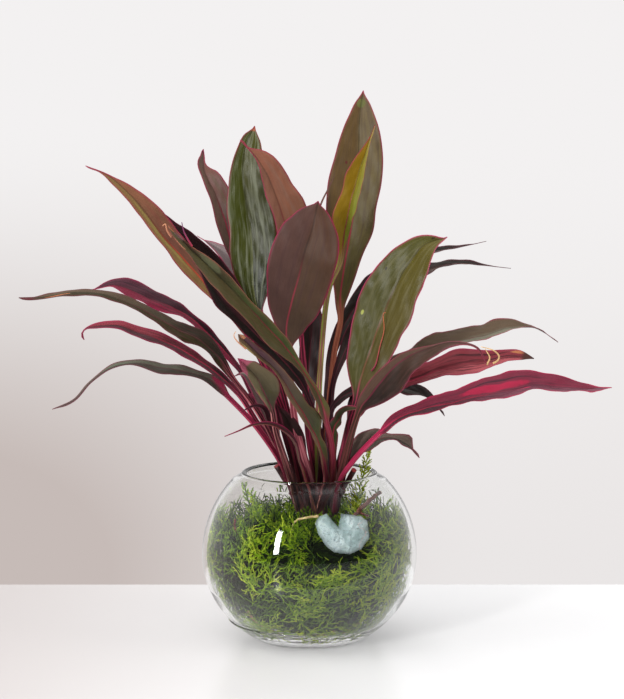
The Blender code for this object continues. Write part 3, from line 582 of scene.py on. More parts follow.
def add_core():
    """The tangle's lumpy middle in painted shade, near-black, with its top sunk under the standing sprigs.
    """
    draw = np.random.default_rng(5)
    side = np.linspace(BED_FLOOR - 1, CORE_TOP, CORE_ROWS)
    heights = np.append(side, np.full(CORE_TOP_ROWS, CORE_TOP))
    reach = inner_radius(np.clip(side, SPRIG_FLOOR, SPRIG_CEILING)) - CORE_DEPTH
    reach = np.append(reach, np.linspace(92, 6, CORE_TOP_ROWS))
    rows = np.arange(len(heights))[:, None]
    turns = np.linspace(0, 2 * np.pi, CORE_SIDES, endpoint=False)
    waves = sum(
        np.sin(turns[None, :] * lobes + rows * climb + start) * size
        for (lobes, climb, size), start in zip(CORE_WAVES, draw.uniform(0, 6, 4))
    )
    radius = np.maximum(1, reach[:, None] + waves * np.minimum(1, reach / 30)[:, None])
    rise = heights[:, None] + np.where(rows >= CORE_ROWS - 1, 1.0, 0.0) * waves
    points = np.stack([radius * np.cos(turns), radius * np.sin(turns), rise], axis=-1).reshape(-1, 3)
    index = np.arange(len(points)).reshape(-1, CORE_SIDES)
    faces = ring_faces(index).tolist() + [index[0, ::-1].tolist(), index[-1].tolist()]
    finish = Finish("sprig_tangle", Roughness=0.85, Specular_IOR_Level=0.0)
    twine = finish.noise(finish.stretched(finish.place(), (1, 1, 2.2)), 150.0, 5.0, 0.7)
    # Near-black greens: painted shade for the depths of the packed sprigs.
    finish.set("Base Color", finish.mix(twine.rise(0.35, 0.7), paint(6, 11, 3), paint(30, 46, 8)))
    finish.relief(twine, 1.0, 0.004)
    return add_piece("sprig_tangle", points, faces, finish, "packed_sprigs")


add_core()
green = sprig_finish("conifer_sprigs")
draw = np.random.default_rng(11)
# Four layers along the glass, from the deepest out; the deeper ones are painted darker, as painted shade in
# the packed bed. For each: how many sprigs, how deep in they start, how long they are, their tone, and
# whether they are feathery.
WALL_SPRIGS = (
    ("sprigs_deep", 170, (12, 20), (50, 100), 0.12, False),
    ("sprigs_middle", 150, (6, 12), (50, 100), 0.4, False),
    ("sprigs_outer", 96, (1.4, 5.5), (60, 120), 0.74, True),
    ("sprigs_feathery", 50, (1.2, 4), (40, 80), 0.9, True),
)
WALL_FOOT = 24
WALL_SPACING = 6.0
WALL_BRANCH = 21.0
for name, many, depth, length, tone, feathery in WALL_SPRIGS:
    routes = wall_routes(draw, many, depth, length, WALL_FOOT, BED_TOP)
    tones = np.clip(draw.normal(tone, 0.2, len(routes)), 0, 1)
    groups = sprays(draw, routes, WALL_SPACING, WALL_BRANCH, tones, radius=0.52, flat=0.4, feathery=feathery)
    add_tubes(name, groups, green, "packed_sprigs")
# The standing sprigs lean and droop every way. Their feet are sunk in the bed.
STANDING_SPRIGS = 230
STANDING_STEPS = 7
STANDING_REACH = 114
STANDING_FOOT = BED_TOP - 18.0
STANDING_LEAN = 0.5
STANDING_LENGTHS = (20, 40)
LONGER_TO_RIGHT = 20
STANDING_DROOP = 0.35
STANDING_SPACING = 3.4
STANDING_BRANCH = 12.0
many = STANDING_SPRIGS
turn = draw.uniform(0, 2 * np.pi, many)
reach = STANDING_REACH * np.sqrt(draw.uniform(0.02, 1, many))
foot = np.stack([reach * np.cos(turn), reach * np.sin(turn), np.full(many, STANDING_FOOT)], axis=1)
lean = [draw.normal(0, STANDING_LEAN, many), draw.normal(0, STANDING_LEAN, many), np.full(many, 1.0)]
lean = unit(np.stack(lean, axis=1))
tall = draw.uniform(*STANDING_LENGTHS, many) + LONGER_TO_RIGHT * np.clip(foot[:, 0] / 100, -0.2, 1)
t = np.linspace(0, 1, STANDING_STEPS)[None, :, None]
droop = [draw.normal(0, 1, many), draw.normal(0, 1, many), draw.uniform(-1.2, 0, many)]
droop = unit(np.stack(droop, axis=1))
routes = foot[:, None] + (lean[:, None] * t + droop[:, None] * t**2 * STANDING_DROOP) * tall[:, None, None]
routes = behind_chunk(routes)
tones = np.clip(draw.normal(0.55, 0.18, len(routes)), 0, 1)
groups = sprays(draw, routes, STANDING_SPACING, STANDING_BRANCH, tones)
add_tubes("sprigs_top", groups, green, "packed_sprigs")

# The sprays: longer sprigs that stand or arch out of the bed, where the photo shows them against the glass,
# and more of the kind behind, where it doesn't show them. Each has feathery side twigs.
SPRAYS = (
    ("spray_rim_right", 1.15, 16, ((52, 4, 138), (58, 4, 168), (66, 0, 205), (70, -2, 222))),
    ("spray_left_up", 0.85, 12, ((-52, -30, 134), (-62, -36, 160), (-66, -40, 178))),
    ("spray_left_in", 0.8, 12, ((-62, 2, 132), (-72, 4, 160), (-76, 4, 178))),
    ("spray_arch_left", 0.85, 13, ((-34, -58, 133), (-44, -76, 150), (-64, -84, 132), (-75, -82, 112))),
    ("spray_arch_front", 0.9, 13, ((-19, -54, 134), (-26, -82, 147), (-14, -104, 126), (-6, -109, 108))),
    ("spray_front_low", 0.85, 13, ((-42, -94, 70), (-24, -102, 84), (2, -107, 92), (20, -105, 92))),
    ("spray_left_side", 0.6, 12, ((-88, -48, 52), (-94, -54, 74), (-96, -54, 100), (-92, -50, 124))),
    ("spray_right_low", 0.95, 14, ((44, -78, 44), (58, -84, 60), (74, -78, 76), (86, -68, 90))),
    ("spray_right_side", 0.6, 13, ((96, -28, 66), (108, -24, 92), (106, -22, 118), (96, -20, 142))),
    ("spray_back_right", 0.6, 13, ((70, 72, 60), (80, 76, 84), (80, 76, 112), (70, 68, 138))),
    ("spray_back", 0.6, 13, ((-10, 100, 56), (-8, 110, 84), (-6, 108, 114), (-4, 94, 142))),
    ("spray_back_left", 0.6, 13, ((-78, 66, 58), (-86, 72, 84), (-84, 70, 114), (-72, 60, 140))),
    ("spray_back_up", 0.6, 13, ((20, 52, 134), (24, 60, 160), (26, 62, 184))),
)
SPRAY_STEPS = 14
SPRAY_SPACING = 3.2
# The ones that stand clear of the bed are thicker, and spread so that they are seen flat from the front.
STANDS_ABOVE = 170
TO_VIEWER = np.array((0.3, -1.0, 0.0))
for name, tone, reach, waypoints in SPRAYS:
    route = smooth_route(waypoints, SPRAY_STEPS)[None]
    radius, facing = (0.95, TO_VIEWER) if waypoints[-1][2] > STANDS_ABOVE else (0.7, None)
    groups = sprays(draw, route, SPRAY_SPACING, reach * 1.1, np.array([tone]), radius, facing=facing)
    add_tubes(name + "_leafy", groups, green, name)

# The twigs: a cut woody twig with a side shoot, a dry straw, a red twig, and wet roots that run along the
# bottom of the glass. Bark has knots and fine grain, and a cut end is pale.
TWIGS = (
    ("woody_twig", "woody_twig_bark", 2.8, 2.1, (122, 76, 62), (60, 34, 28),
     (((44, -52, 132), (54, -62, 158), (80, -38, 176)), ((54, -62, 158), (66, -64, 154)))),
    ("straw", "straw_bark", 1.4, 0.8, (206, 184, 136), (170, 140, 96),
     (((10, -82, 157), (-4, -85, 156), (-16, -82, 151), (-20, -72, 136)),)),
    ("red_twig", "red_twig_bark", 1.2, 0.9, (120, 34, 30), (70, 30, 20),
     (((-70, -62, 118), (-82, -62, 136), (-84, -44, 146)),)),
    ("root_left", "root_bark", 1.5, 1.1, (176, 134, 98), (120, 80, 54),
     (((-70, -54, 42), (-58, -66, 32), (-40, -67, 23), (-26, -61, 18)),)),
    ("root_front", "root_bark", 1.7, 1.1, (176, 134, 98), (120, 80, 54),
     (((-14, -58, 17), (-2, -63, 18), (14, -63, 18), (28, -68, 24)),)),
    ("root_right", "root_bark", 1.5, 1.1, (176, 134, 98), (120, 80, 54),
     (((36, -57, 19), (48, -63, 26), (62, -62, 37)),)),
)
TWIG_STEPS = 28
CROOKEDNESS = 0.35
KNOT_SWELL = 0.16
SIDE_SHOOT_SHARE = 0.55
for name, slot, thick, thin, bark, dark, stems in TWIGS:
    finish = Finish(name + "_bark", Specular_IOR_Level=0.3)
    tone = finish.kept("tone")
    grain = finish.noise(finish.place(), 420.0, 4.0, 0.7)
    colour = finish.mix(grain.rise(0.35, 0.7), paint(*dark), paint(*bark))
    finish.set("Base Color", finish.mix(tone.rise(0.8, 0.9), colour, paint(214, 186, 140)))
    finish.set("Roughness", 0.5 + grain * 0.3)
    finish.relief(grain, 0.7, 0.0008)
    groups = []
    for place, waypoints in enumerate(stems):
        route = smooth_route(waypoints, TWIG_STEPS)
        crooked = draw.normal(0, CROOKEDNESS, (TWIG_STEPS, 3)) * (1 - 0.5 * place)
        crooked[[0, -1]] = 0
        radii = np.linspace(thick, thin, TWIG_STEPS) * (SIDE_SHOOT_SHARE if place else 1)
        knots = np.sin(np.arange(TWIG_STEPS) * 1.7) * draw.uniform(0.4, 1, TWIG_STEPS)
        radii = radii * (1 + KNOT_SWELL * knots)
        # Two rings close together at the end make the cut face.
        route = np.concatenate([route + crooked, route[-1:] + (route[-1:] - route[-2:-1]) * 0.02])
        radii = np.append(radii, radii[-1] * 0.55)
        cut = np.where(np.arange(TWIG_STEPS + 1) >= TWIG_STEPS - 1, 1.0, 0.0)
        groups.append((route[None], radii[None], 10, cut[None]))
    add_tubes(name + "_bark", groups, finish, name, inside=name != "woody_twig")

# The chunk: a pale, see-through lump like crumpled gel, with a notch in its top, lying against the inside of
# the glass. It is finely speckled, with a pinkish vein on its right, and its thin edges let light through.
CHUNK_OUTLINE = ((-31, 14), (-25, 20), (-16, 22), (-4, 6), (1, 21), (12, 19), (24, 17), (31, 11), (31, -8),
                 (20, -20), (5, -24), (-13, -21), (-22, -12), (-29, 2))
CHUNK_THICKNESS = 13.0
CHUNK_GRAIN = 3.2
EDGE_THICKNESS = 0.5
VEIN_PLACE = 0.056


def add_chunk():
    draw = np.random.default_rng(3)
    outline = np.array(CHUNK_OUTLINE, float)
    rim = []
    for a, b in zip(outline, np.roll(outline, -1, axis=0)):
        steps = max(2, int(np.linalg.norm(b - a) / CHUNK_GRAIN))
        rim += [a + (b - a) * k / steps for k in range(steps)]
    rim = np.array(rim) + draw.normal(0, 0.25, (len(rim), 2))
    ahead = np.roll(rim, -1, axis=0)

    def from_rim(point):
        share = np.clip(((point - rim) * (ahead - rim)).sum(1) / ((ahead - rim) ** 2).sum(1), 0, 1)
        return np.linalg.norm(rim + (ahead - rim) * share[:, None] - point, axis=1).min()

    def within(point):
        """Whether the outline's edges are crossed an odd number of times on the way to the right."""
        spans = (rim[:, 1] > point[1]) != (ahead[:, 1] > point[1])
        share = (point[1] - rim[:, 1]) / np.where(spans, ahead[:, 1] - rim[:, 1], 1)
        return (spans & (rim[:, 0] + (ahead[:, 0] - rim[:, 0]) * share > point[0])).sum() % 2 == 1

    grid = [(x, z) for x in np.arange(-31, 32, CHUNK_GRAIN) for z in np.arange(-24, 23, CHUNK_GRAIN)]
    grid = np.array(grid) + draw.uniform(-1.1, 1.1, (len(grid), 2))
    inner = [p for p in grid if from_rim(p) > 1.8 and within(p)]
    flat = [Vector(p) for p in (*rim, *inner)]
    ring = [(k, (k + 1) % len(rim)) for k in range(len(rim))]
    flat, _, faces, _, _, _ = geometry.delaunay_2d_cdt(flat, ring, [list(range(len(rim)))], 1, 1e-5)
    flat = np.array([tuple(p) for p in flat])
    deep = np.array([from_rim(p) for p in flat])
    on_rim = deep < 0.4
    # The front and back are crumpled into small facets, and thin out to the rim.
    thickness = EDGE_THICKNESS + (CHUNK_THICKNESS / 2 - 0.7) * (1 - np.exp(-deep / 5.5))
    front = thickness + np.where(on_rim, 0, draw.normal(0, 0.75, len(flat)))
    back = thickness + np.where(on_rim, 0, draw.normal(0, 0.5, len(flat)))
    points = np.concatenate([np.column_stack([flat, front]), np.column_stack([flat, -back])])
    count = len(flat)
    # Seen from the front, the slab's own third axis looks at the viewer.
    top = [tuple(face) for face in faces]
    under = [tuple(k + count for k in reversed(face)) for face in faces]
    edges = {edge: None for face in top for edge in zip(face, face[1:] + face[:1])}
    side = [(b, a, a + count, b + count) for a, b in edges if (b, a) not in edges]
    y = points[:, 1] * math.cos(CHUNK_LEAN) - points[:, 2] * math.sin(CHUNK_LEAN)
    z = points[:, 1] * math.sin(CHUNK_LEAN) + points[:, 2] * math.cos(CHUNK_LEAN)
    x = points[:, 0] * math.cos(CHUNK_TURN) - y * math.sin(CHUNK_TURN)
    y = points[:, 0] * math.sin(CHUNK_TURN) + y * math.cos(CHUNK_TURN)
    placed = np.stack([x, y, z], axis=1) + CHUNK_CENTRE
    finish = Finish("pale_chunk", IOR=1.35, Subsurface_Weight=0.6, Subsurface_Scale=0.01,
                    Subsurface_Radius=(1.0, 1.0, 0.95), Specular_IOR_Level=0.5)
    place = finish.place()
    speck = finish.noise(place, 560.0, 2.0).rise(0.54, 0.66)
    cloud = finish.noise(place, 70.0, 4.0)
    vein = abs(finish.parts(place)[0] + (cloud - 0.5) * 0.05 - VEIN_PLACE).rise(0.0016, 0.0)
    colour = finish.mix(cloud.rise(0.3, 0.75), paint(152, 172, 172), paint(204, 216, 218))
    colour = finish.mix(speck * 0.7, colour, paint(118, 134, 134))
    finish.set("Base Color", finish.mix(vein * 0.5, colour, paint(206, 160, 158)))
    finish.set("Roughness", 0.25 + speck * 0.3)
    finish.set("Alpha", 0.86 - finish.kept("thin") * (0.3 + cloud * 0.6))
    finish.relief(cloud + speck * 0.2, 0.5, 0.001)
    kept = (("thin", "FLOAT", np.tile(np.exp(-deep / 3.5), 2)),)
    return add_piece("chunk_worn", placed, top + under + side, finish, "chunk", False, kept)


add_chunk()

# The shoots: five canes of a red ti plant pushed into the bed. Each leaf has a channelled stalk that clasps
# the cane, and a long blade with close parallel veins, a pink rib and a thin magenta margin.
STALK_HALF_WIDTH = 3.4
STALK_THICKNESS = 3.6
STALK_FLARE = 0.6
FLARE_LENGTH = 150.0
BLADE_THICKNESS = 0.5
MARGIN_THICKNESS = 0.28
RIB_THICKNESS = 1.3
RIB_HALF_WIDTH = 1.6
RIB_NARROWING = 0.4
TAPER_FROM = 0.8
TAPER_SHARE = 0.8
PLAIN_FULLNESS = 1.8
PLAIN_THREAD = 0.07
FOOT_FOLD = 0.35
ARCH = 0.11
LEAN_POWER = 1.6
LEAF_STEP = 4.0
LEAF_LEAST_STEPS = 30
LEAF_COLUMNS = 21
CALM_BELOW = 14
OUTLINE_STEPS = 90
OUTLINE_SHARES = (0, 0.05, 0.12, 0.2, 0.3, 0.4, 0.5, 0.6, 0.7, 0.8, 0.88, 0.94, 0.98, 1)
# Waves of the margins as (length, height), and buckles of the whole blade as (length, slant, height).
MARGIN_WAVES = ((95, 1.5), (47, 0.8), (23, 0.35))
BUCKLES = ((38, 0.3, 0.5), (19, -0.66, 0.22))


def leant(waypoints, depth):
    """The route with each place moved back along the photo's line of sight, by depth at the tip."""
    places = np.array(waypoints, float)
    sight = places - PHOTO_EYE
    share = np.linspace(0, 1, len(places))[:, None] ** LEAN_POWER
    return PHOTO_EYE + sight * (1 + depth * share / sight[:, 1:2])


def half_widths(shape, blade, stalk_half):
    """Half the blade's width on its left and on its right, at each share of its length."""
    if not isinstance(shape, tuple):
        body = np.minimum(1.0, blade / (1 - PLAIN_THREAD))
        swell = 1 - np.abs(2 * body**1.15 - 1) ** PLAIN_FULLNESS
        return [stalk_half + max(0, shape / 2 - STALK_HALF_WIDTH) * swell] * 2
    left, right, *shares = shape
    shares = np.array(shares[0] if shares else OUTLINE_SHARES) * 100
    outline = smooth_route(np.column_stack([shares, left, right]), OUTLINE_STEPS)
    return [np.maximum(stalk_half, np.interp(blade * 100, outline[:, 0], outline[:, k])) for k in (1, 2)]


def leaf_mesh(pose, waypoints, shape, seed):
    """Points, faces and what the points keep.

    pose is the stalk's share of the length, the blade's fold in degrees, how far the tip leans back, and
    where the upper side looks at the foot and at the tip. shape is the width of a plain blade, or else the
    half widths on the left and on the right at each of OUTLINE_SHARES, or at shares of its own.
    """
    stalk_share, fold, depth, foot_face, tip_face = pose
    draw = np.random.default_rng(seed)
    waypoints = leant(waypoints, depth)
    length = np.linalg.norm(np.diff(waypoints, axis=0), axis=1).sum()
    steps = max(LEAF_LEAST_STEPS, int(length / LEAF_STEP))
    middle = smooth_route(waypoints, steps)
    share = np.linspace(0, 1, steps)
    blade = np.maximum(0.0, (share - stalk_share) / (1 - stalk_share))
    foot_way, tip_way = unit(np.array(foot_face, float)), unit(np.array(tip_face, float))
    side = unit(np.cross(headings(middle), foot_way + (tip_way - foot_way) * blade[:, None]))
    up = unit(np.cross(side, headings(middle)))
    taper = 1 - np.maximum(0.0, (share - TAPER_FROM) / (1 - TAPER_FROM)) * TAPER_SHARE
    flare = 1 + STALK_FLARE * np.maximum(0, 1 - share * length / FLARE_LENGTH)
    stalk_half = STALK_HALF_WIDTH if isinstance(shape, tuple) else min(STALK_HALF_WIDTH, shape / 2)
    stalk_half = stalk_half * taper * flare * (1 - RIB_NARROWING * blade)
    halves = half_widths(shape, blade, stalk_half)
    u = np.linspace(-1, 1, LEAF_COLUMNS)
    half = np.where(u[None, :] < 0, halves[0][:, None], halves[1][:, None])
    beside = half * u[None, :]
    slim = np.minimum(1.0, blade * 4)[:, None]
    lift = math.radians(fold) * np.minimum(1.0, FOOT_FOLD + 2 * blade)[:, None]
    # The halves are gently arched, buckle a little, and their margins wave on the way to the tip.
    arch = ARCH * half * (np.abs(u) - u**2)[None, :] * slim
    mm = (share * length)[:, None]
    ripple = np.zeros_like(beside)
    for reach, size in MARGIN_WAVES:
        for way in (-1, 1):
            swing = np.sin(2 * np.pi * mm / reach + draw.uniform(0, 2 * np.pi))
            ripple = ripple + size * swing * np.clip(u * way, 0, 1)[None, :] ** 2
    for reach, slant, size in BUCKLES:
        ripple = ripple + size * np.sin(2 * np.pi * mm / reach + beside * slant + draw.uniform(0, 6))
    ripple = ripple * np.minimum(1, half / CALM_BELOW) * slim
    rise = np.abs(beside) * np.sin(lift) + arch + ripple
    top = middle[:, None] + side[:, None] * (beside * np.cos(lift))[..., None]
    top = top + up[:, None] * rise[..., None]
    thick = STALK_THICKNESS + (BLADE_THICKNESS - STALK_THICKNESS) * slim
    thick = thick + RIB_THICKNESS * (1 - blade[:, None]) * slim * np.exp(-((beside / RIB_HALF_WIDTH) ** 2))
    thick = MARGIN_THICKNESS + (thick - MARGIN_THICKNESS) * (1 - u[None, :] ** 4)
    bottom = top - up[:, None] * thick[..., None]
    # The top, the underside and the four edges between them.
    index = np.arange(steps * LEAF_COLUMNS).reshape(steps, LEAF_COLUMNS)
    under = index + steps * LEAF_COLUMNS
    corners = (
        (index[:-1, :-1], index[:-1, 1:], index[1:, 1:], index[1:, :-1]),
        (under[:-1, :-1], under[1:, :-1], under[1:, 1:], under[:-1, 1:]),
        (index[:-1, 0], index[1:, 0], under[1:, 0], under[:-1, 0]),
        (index[:-1, -1], under[:-1, -1], under[1:, -1], index[1:, -1]),
        (index[0, :-1], under[0, :-1], under[0, 1:], index[0, 1:]),
        (index[-1, :-1], index[-1, 1:], under[-1, 1:], under[-1, :-1]),
    )
    faces = np.concatenate([np.stack(four, axis=-1).reshape(-1, 4) for four in corners]).tolist()
    points = np.concatenate([top.reshape(-1, 3), bottom.reshape(-1, 3)])
    full = np.ones_like(beside)
    spread = np.stack([u[None, :] * full, blade[:, None] * full, share[:, None] * full], axis=-1)
    span = np.stack([half - np.abs(beside), beside, mm * full], axis=-1)
    kept = [("under", "FLOAT", np.repeat((0.0, 1.0), full.size))]
    for label, values in (("blade", spread), ("span", span)):
        kept.append((label, "FLOAT_VECTOR", np.tile(values.reshape(-1, 3), (2, 1))))
    return points, faces, kept


BANDS_ACROSS = 7.0
STRIPS_ACROSS = 2.2
VEINS_PER_MM = 1.6
GRAIN_ALONG = 0.012
MARGIN_WIDTH = 1.05
MARGIN_BLUSH = 4.0
RIB_FADES = (0.7, 0.35)
STALK_SHADE_IN_BED = 0.24
BED_TO_LIGHT = (34.0, 90.0)
MARGIN = (158, 26, 76)
RIB_RED = (150, 36, 60)
STALK_PINK = (176, 48, 84)
STALK_DARK = (66, 14, 30)
UNDERSIDE = paint(92, 58, 62)
# Blades lying among and behind others are painted dark: their own dark colour deepened by painted shade,
# with margins, ribs and stalks to match.
SHADED_DARK_EDGES = dict(rib=(84, 28, 40), margin=(104, 26, 50))
SHADED_DARK_LEAF = dict(stalk=(36, 14, 20), stripe=(90, 30, 44), **SHADED_DARK_EDGES)


def leaf_finish(name, foot, tip, left, streak, streaks=0.3, stalk=STALK_DARK, stripe=STALK_PINK, rib=RIB_RED,
                margin=MARGIN, dead=None, gloss=0.2, marks=()):
    """A leaf's colours: from foot to tip, on its left half, and in streaks along its veins. On the glossy
    blades the streaks are pale, as painted sheen.

    marks lists blemishes as (along, across, length, width, colour): along and length are shares of the
    blade, and the others are in millimetres.
    """
    finish = Finish(name, Specular_IOR_Level=0.22 + 0.3 * gloss)
    foot, tip, left, streak, stalk, stripe, rib, margin = (
        paint(*colour) for colour in (foot, tip, left, streak, stalk, stripe, rib, margin)
    )
    across, blade, share = finish.parts(finish.kept("blade", "Vector"))
    edge, beside, along = finish.parts(finish.kept("span", "Vector"))
    from_rib = abs(beside)

    def grain(over, way, *detail):
        """Noise drawn out along the leaf."""
        return finish.noise(finish.node("CombineXYZ", {}, {0: over, 1: way}), 1.0, *detail)

    drift = finish.noise(finish.place(), 16.0, 3.0)
    cloud = finish.noise(finish.place(), 60.0, 4.0)
    colour = finish.mix((blade + (drift - 0.5) * 0.6).rise(0.1, 0.95), foot, tip)
    colour = finish.mix(((drift - 0.5) * 0.3 - across).rise(-0.12, 0.2), colour, left)
    bands = grain(across * BANDS_ACROSS, along * GRAIN_ALONG, 3.0, 0.6)
    # Streaks along the veins; on the glossy blades they are pale painted sheen.
    colour = finish.mix(bands.rise(0.46, 0.66) * streaks, colour, streak)
    veins = grain(beside * VEINS_PER_MM, along * 0.02, 2.0, 0.7)
    colour = finish.shade(colour, 0.42 + veins * 0.44 + cloud * 0.4 + bands * 0.26)
    for at, aside, long, wide, stain in marks:
        x = (blade - at) * (1 / long)
        y = (beside - aside) * (1 / wide)
        spot = (x * x + y * y + (cloud - 0.5) * 2.0).rise(1.2, 0.5)
        colour = finish.mix(spot * 0.85, colour, paint(*stain))
    rib_line = from_rib.rise(1.4, 0.4) * blade.rise(0.0, 0.06)
    # The groove along the rib is painted darker: painted shade in the channel.
    colour = finish.shade(colour, 1 - rib_line * 0.35)
    colour = finish.mix(rib_line * blade.rise(*RIB_FADES) * 0.8, colour, rib)
    colour = finish.mix(edge.rise(MARGIN_BLUSH, 0.0) * 0.25, colour, margin)
    colour = finish.mix(edge.rise(MARGIN_WIDTH, 0.4) * blade.rise(0.02, 0.12) * 0.8, colour, margin)
    # The stalk is dark with a brighter stripe along it, and runs out into the blade. Painted shade makes it
    # darkest in the bed, among the sprigs, and it lightens higher up.
    strips = grain(across * STRIPS_ACROSS, along * GRAIN_ALONG, 3.0)
    stalk_colour = finish.mix(strips.rise(0.42, 0.6), stalk, stripe)
    stalk_colour = finish.shade(stalk_colour, STALK_SHADE_IN_BED + along.rise(*BED_TO_LIGHT) * (1 - STALK_SHADE_IN_BED))
    colour = finish.mix((blade + from_rib * 0.012).rise(0.16, 0.0), colour, stalk_colour)
    if dead:
        colour = finish.mix((share + (drift - 0.5) * 0.04).rise(0.955, 0.975), colour, paint(*dead))
    below = finish.kept("under")
    underside = finish.shade(UNDERSIDE, 0.8 + bands * 0.4)
    finish.set("Base Color", finish.mix(below * blade.rise(0.0, 0.15) * 0.75, colour, underside))
    finish.set("Roughness", 0.54 - 0.28 * gloss + (bands - 0.5) * (0.2 + 0.3 * gloss) + below * 0.2)
    finish.relief(veins * 0.3 + bands, 0.25, 0.0012)
    return finish


def add_leaf(shoot, name, pose, waypoints, shape, colours):
    """One leaf. The letters of its name seed its waves, so that no two leaves wave alike."""
    finish = leaf_finish(name + "_leaf", **colours)
    points, faces, kept = leaf_mesh(pose, waypoints, shape, seed=sum(ord(letter) for letter in name))
    return add_piece("leaf_" + name, points, faces, finish, shoot, kept=kept)


CANE_RADIUS = 5.5
CANE_STEPS = 40
SCAR_EVERY = 4
SCAR_SWELL = 0.05
STUB_STEPS = 10


def add_cane(shoot, route, stubs=()):
    """The cane, ringed with the scars of old leaves, and any cut stubs with pale ends."""
    finish = Finish(shoot + "_cane", Roughness=0.5)
    grain = finish.noise(finish.stretched(finish.place(), (1, 1, 0.3)), 300.0, 4.0)
    colour = finish.mix(grain.rise(0.3, 0.7), paint(40, 16, 18), paint(80, 28, 34))
    finish.set("Base Color", finish.mix(finish.kept("tone").rise(0.8, 0.9), colour, paint(150, 44, 46)))
    finish.relief(grain, 0.5, 0.0006)
    places = smooth_route(route, CANE_STEPS)
    scars = 1 + SCAR_SWELL * (np.arange(CANE_STEPS) % SCAR_EVERY == 0)
    radii = CANE_RADIUS * np.linspace(1, 0.85, CANE_STEPS) * scars
    groups = [(places[None], radii[None], 14, np.zeros((1, CANE_STEPS)))]
    for radius, foot, cut in stubs:
        places = smooth_route((foot, cut), STUB_STEPS)
        places = np.concatenate([places, places[-1:] + (places[-1:] - places[-2:-1]) * 0.01])
        radii = np.append(np.full(STUB_STEPS, radius), radius * 0.6)
        pale = (np.arange(STUB_STEPS + 1) >= STUB_STEPS - 1).astype(float)
        groups.append((places[None], radii[None], 12, pale[None]))
    return add_tubes(shoot + "_cane", groups, finish, shoot, inside=False)


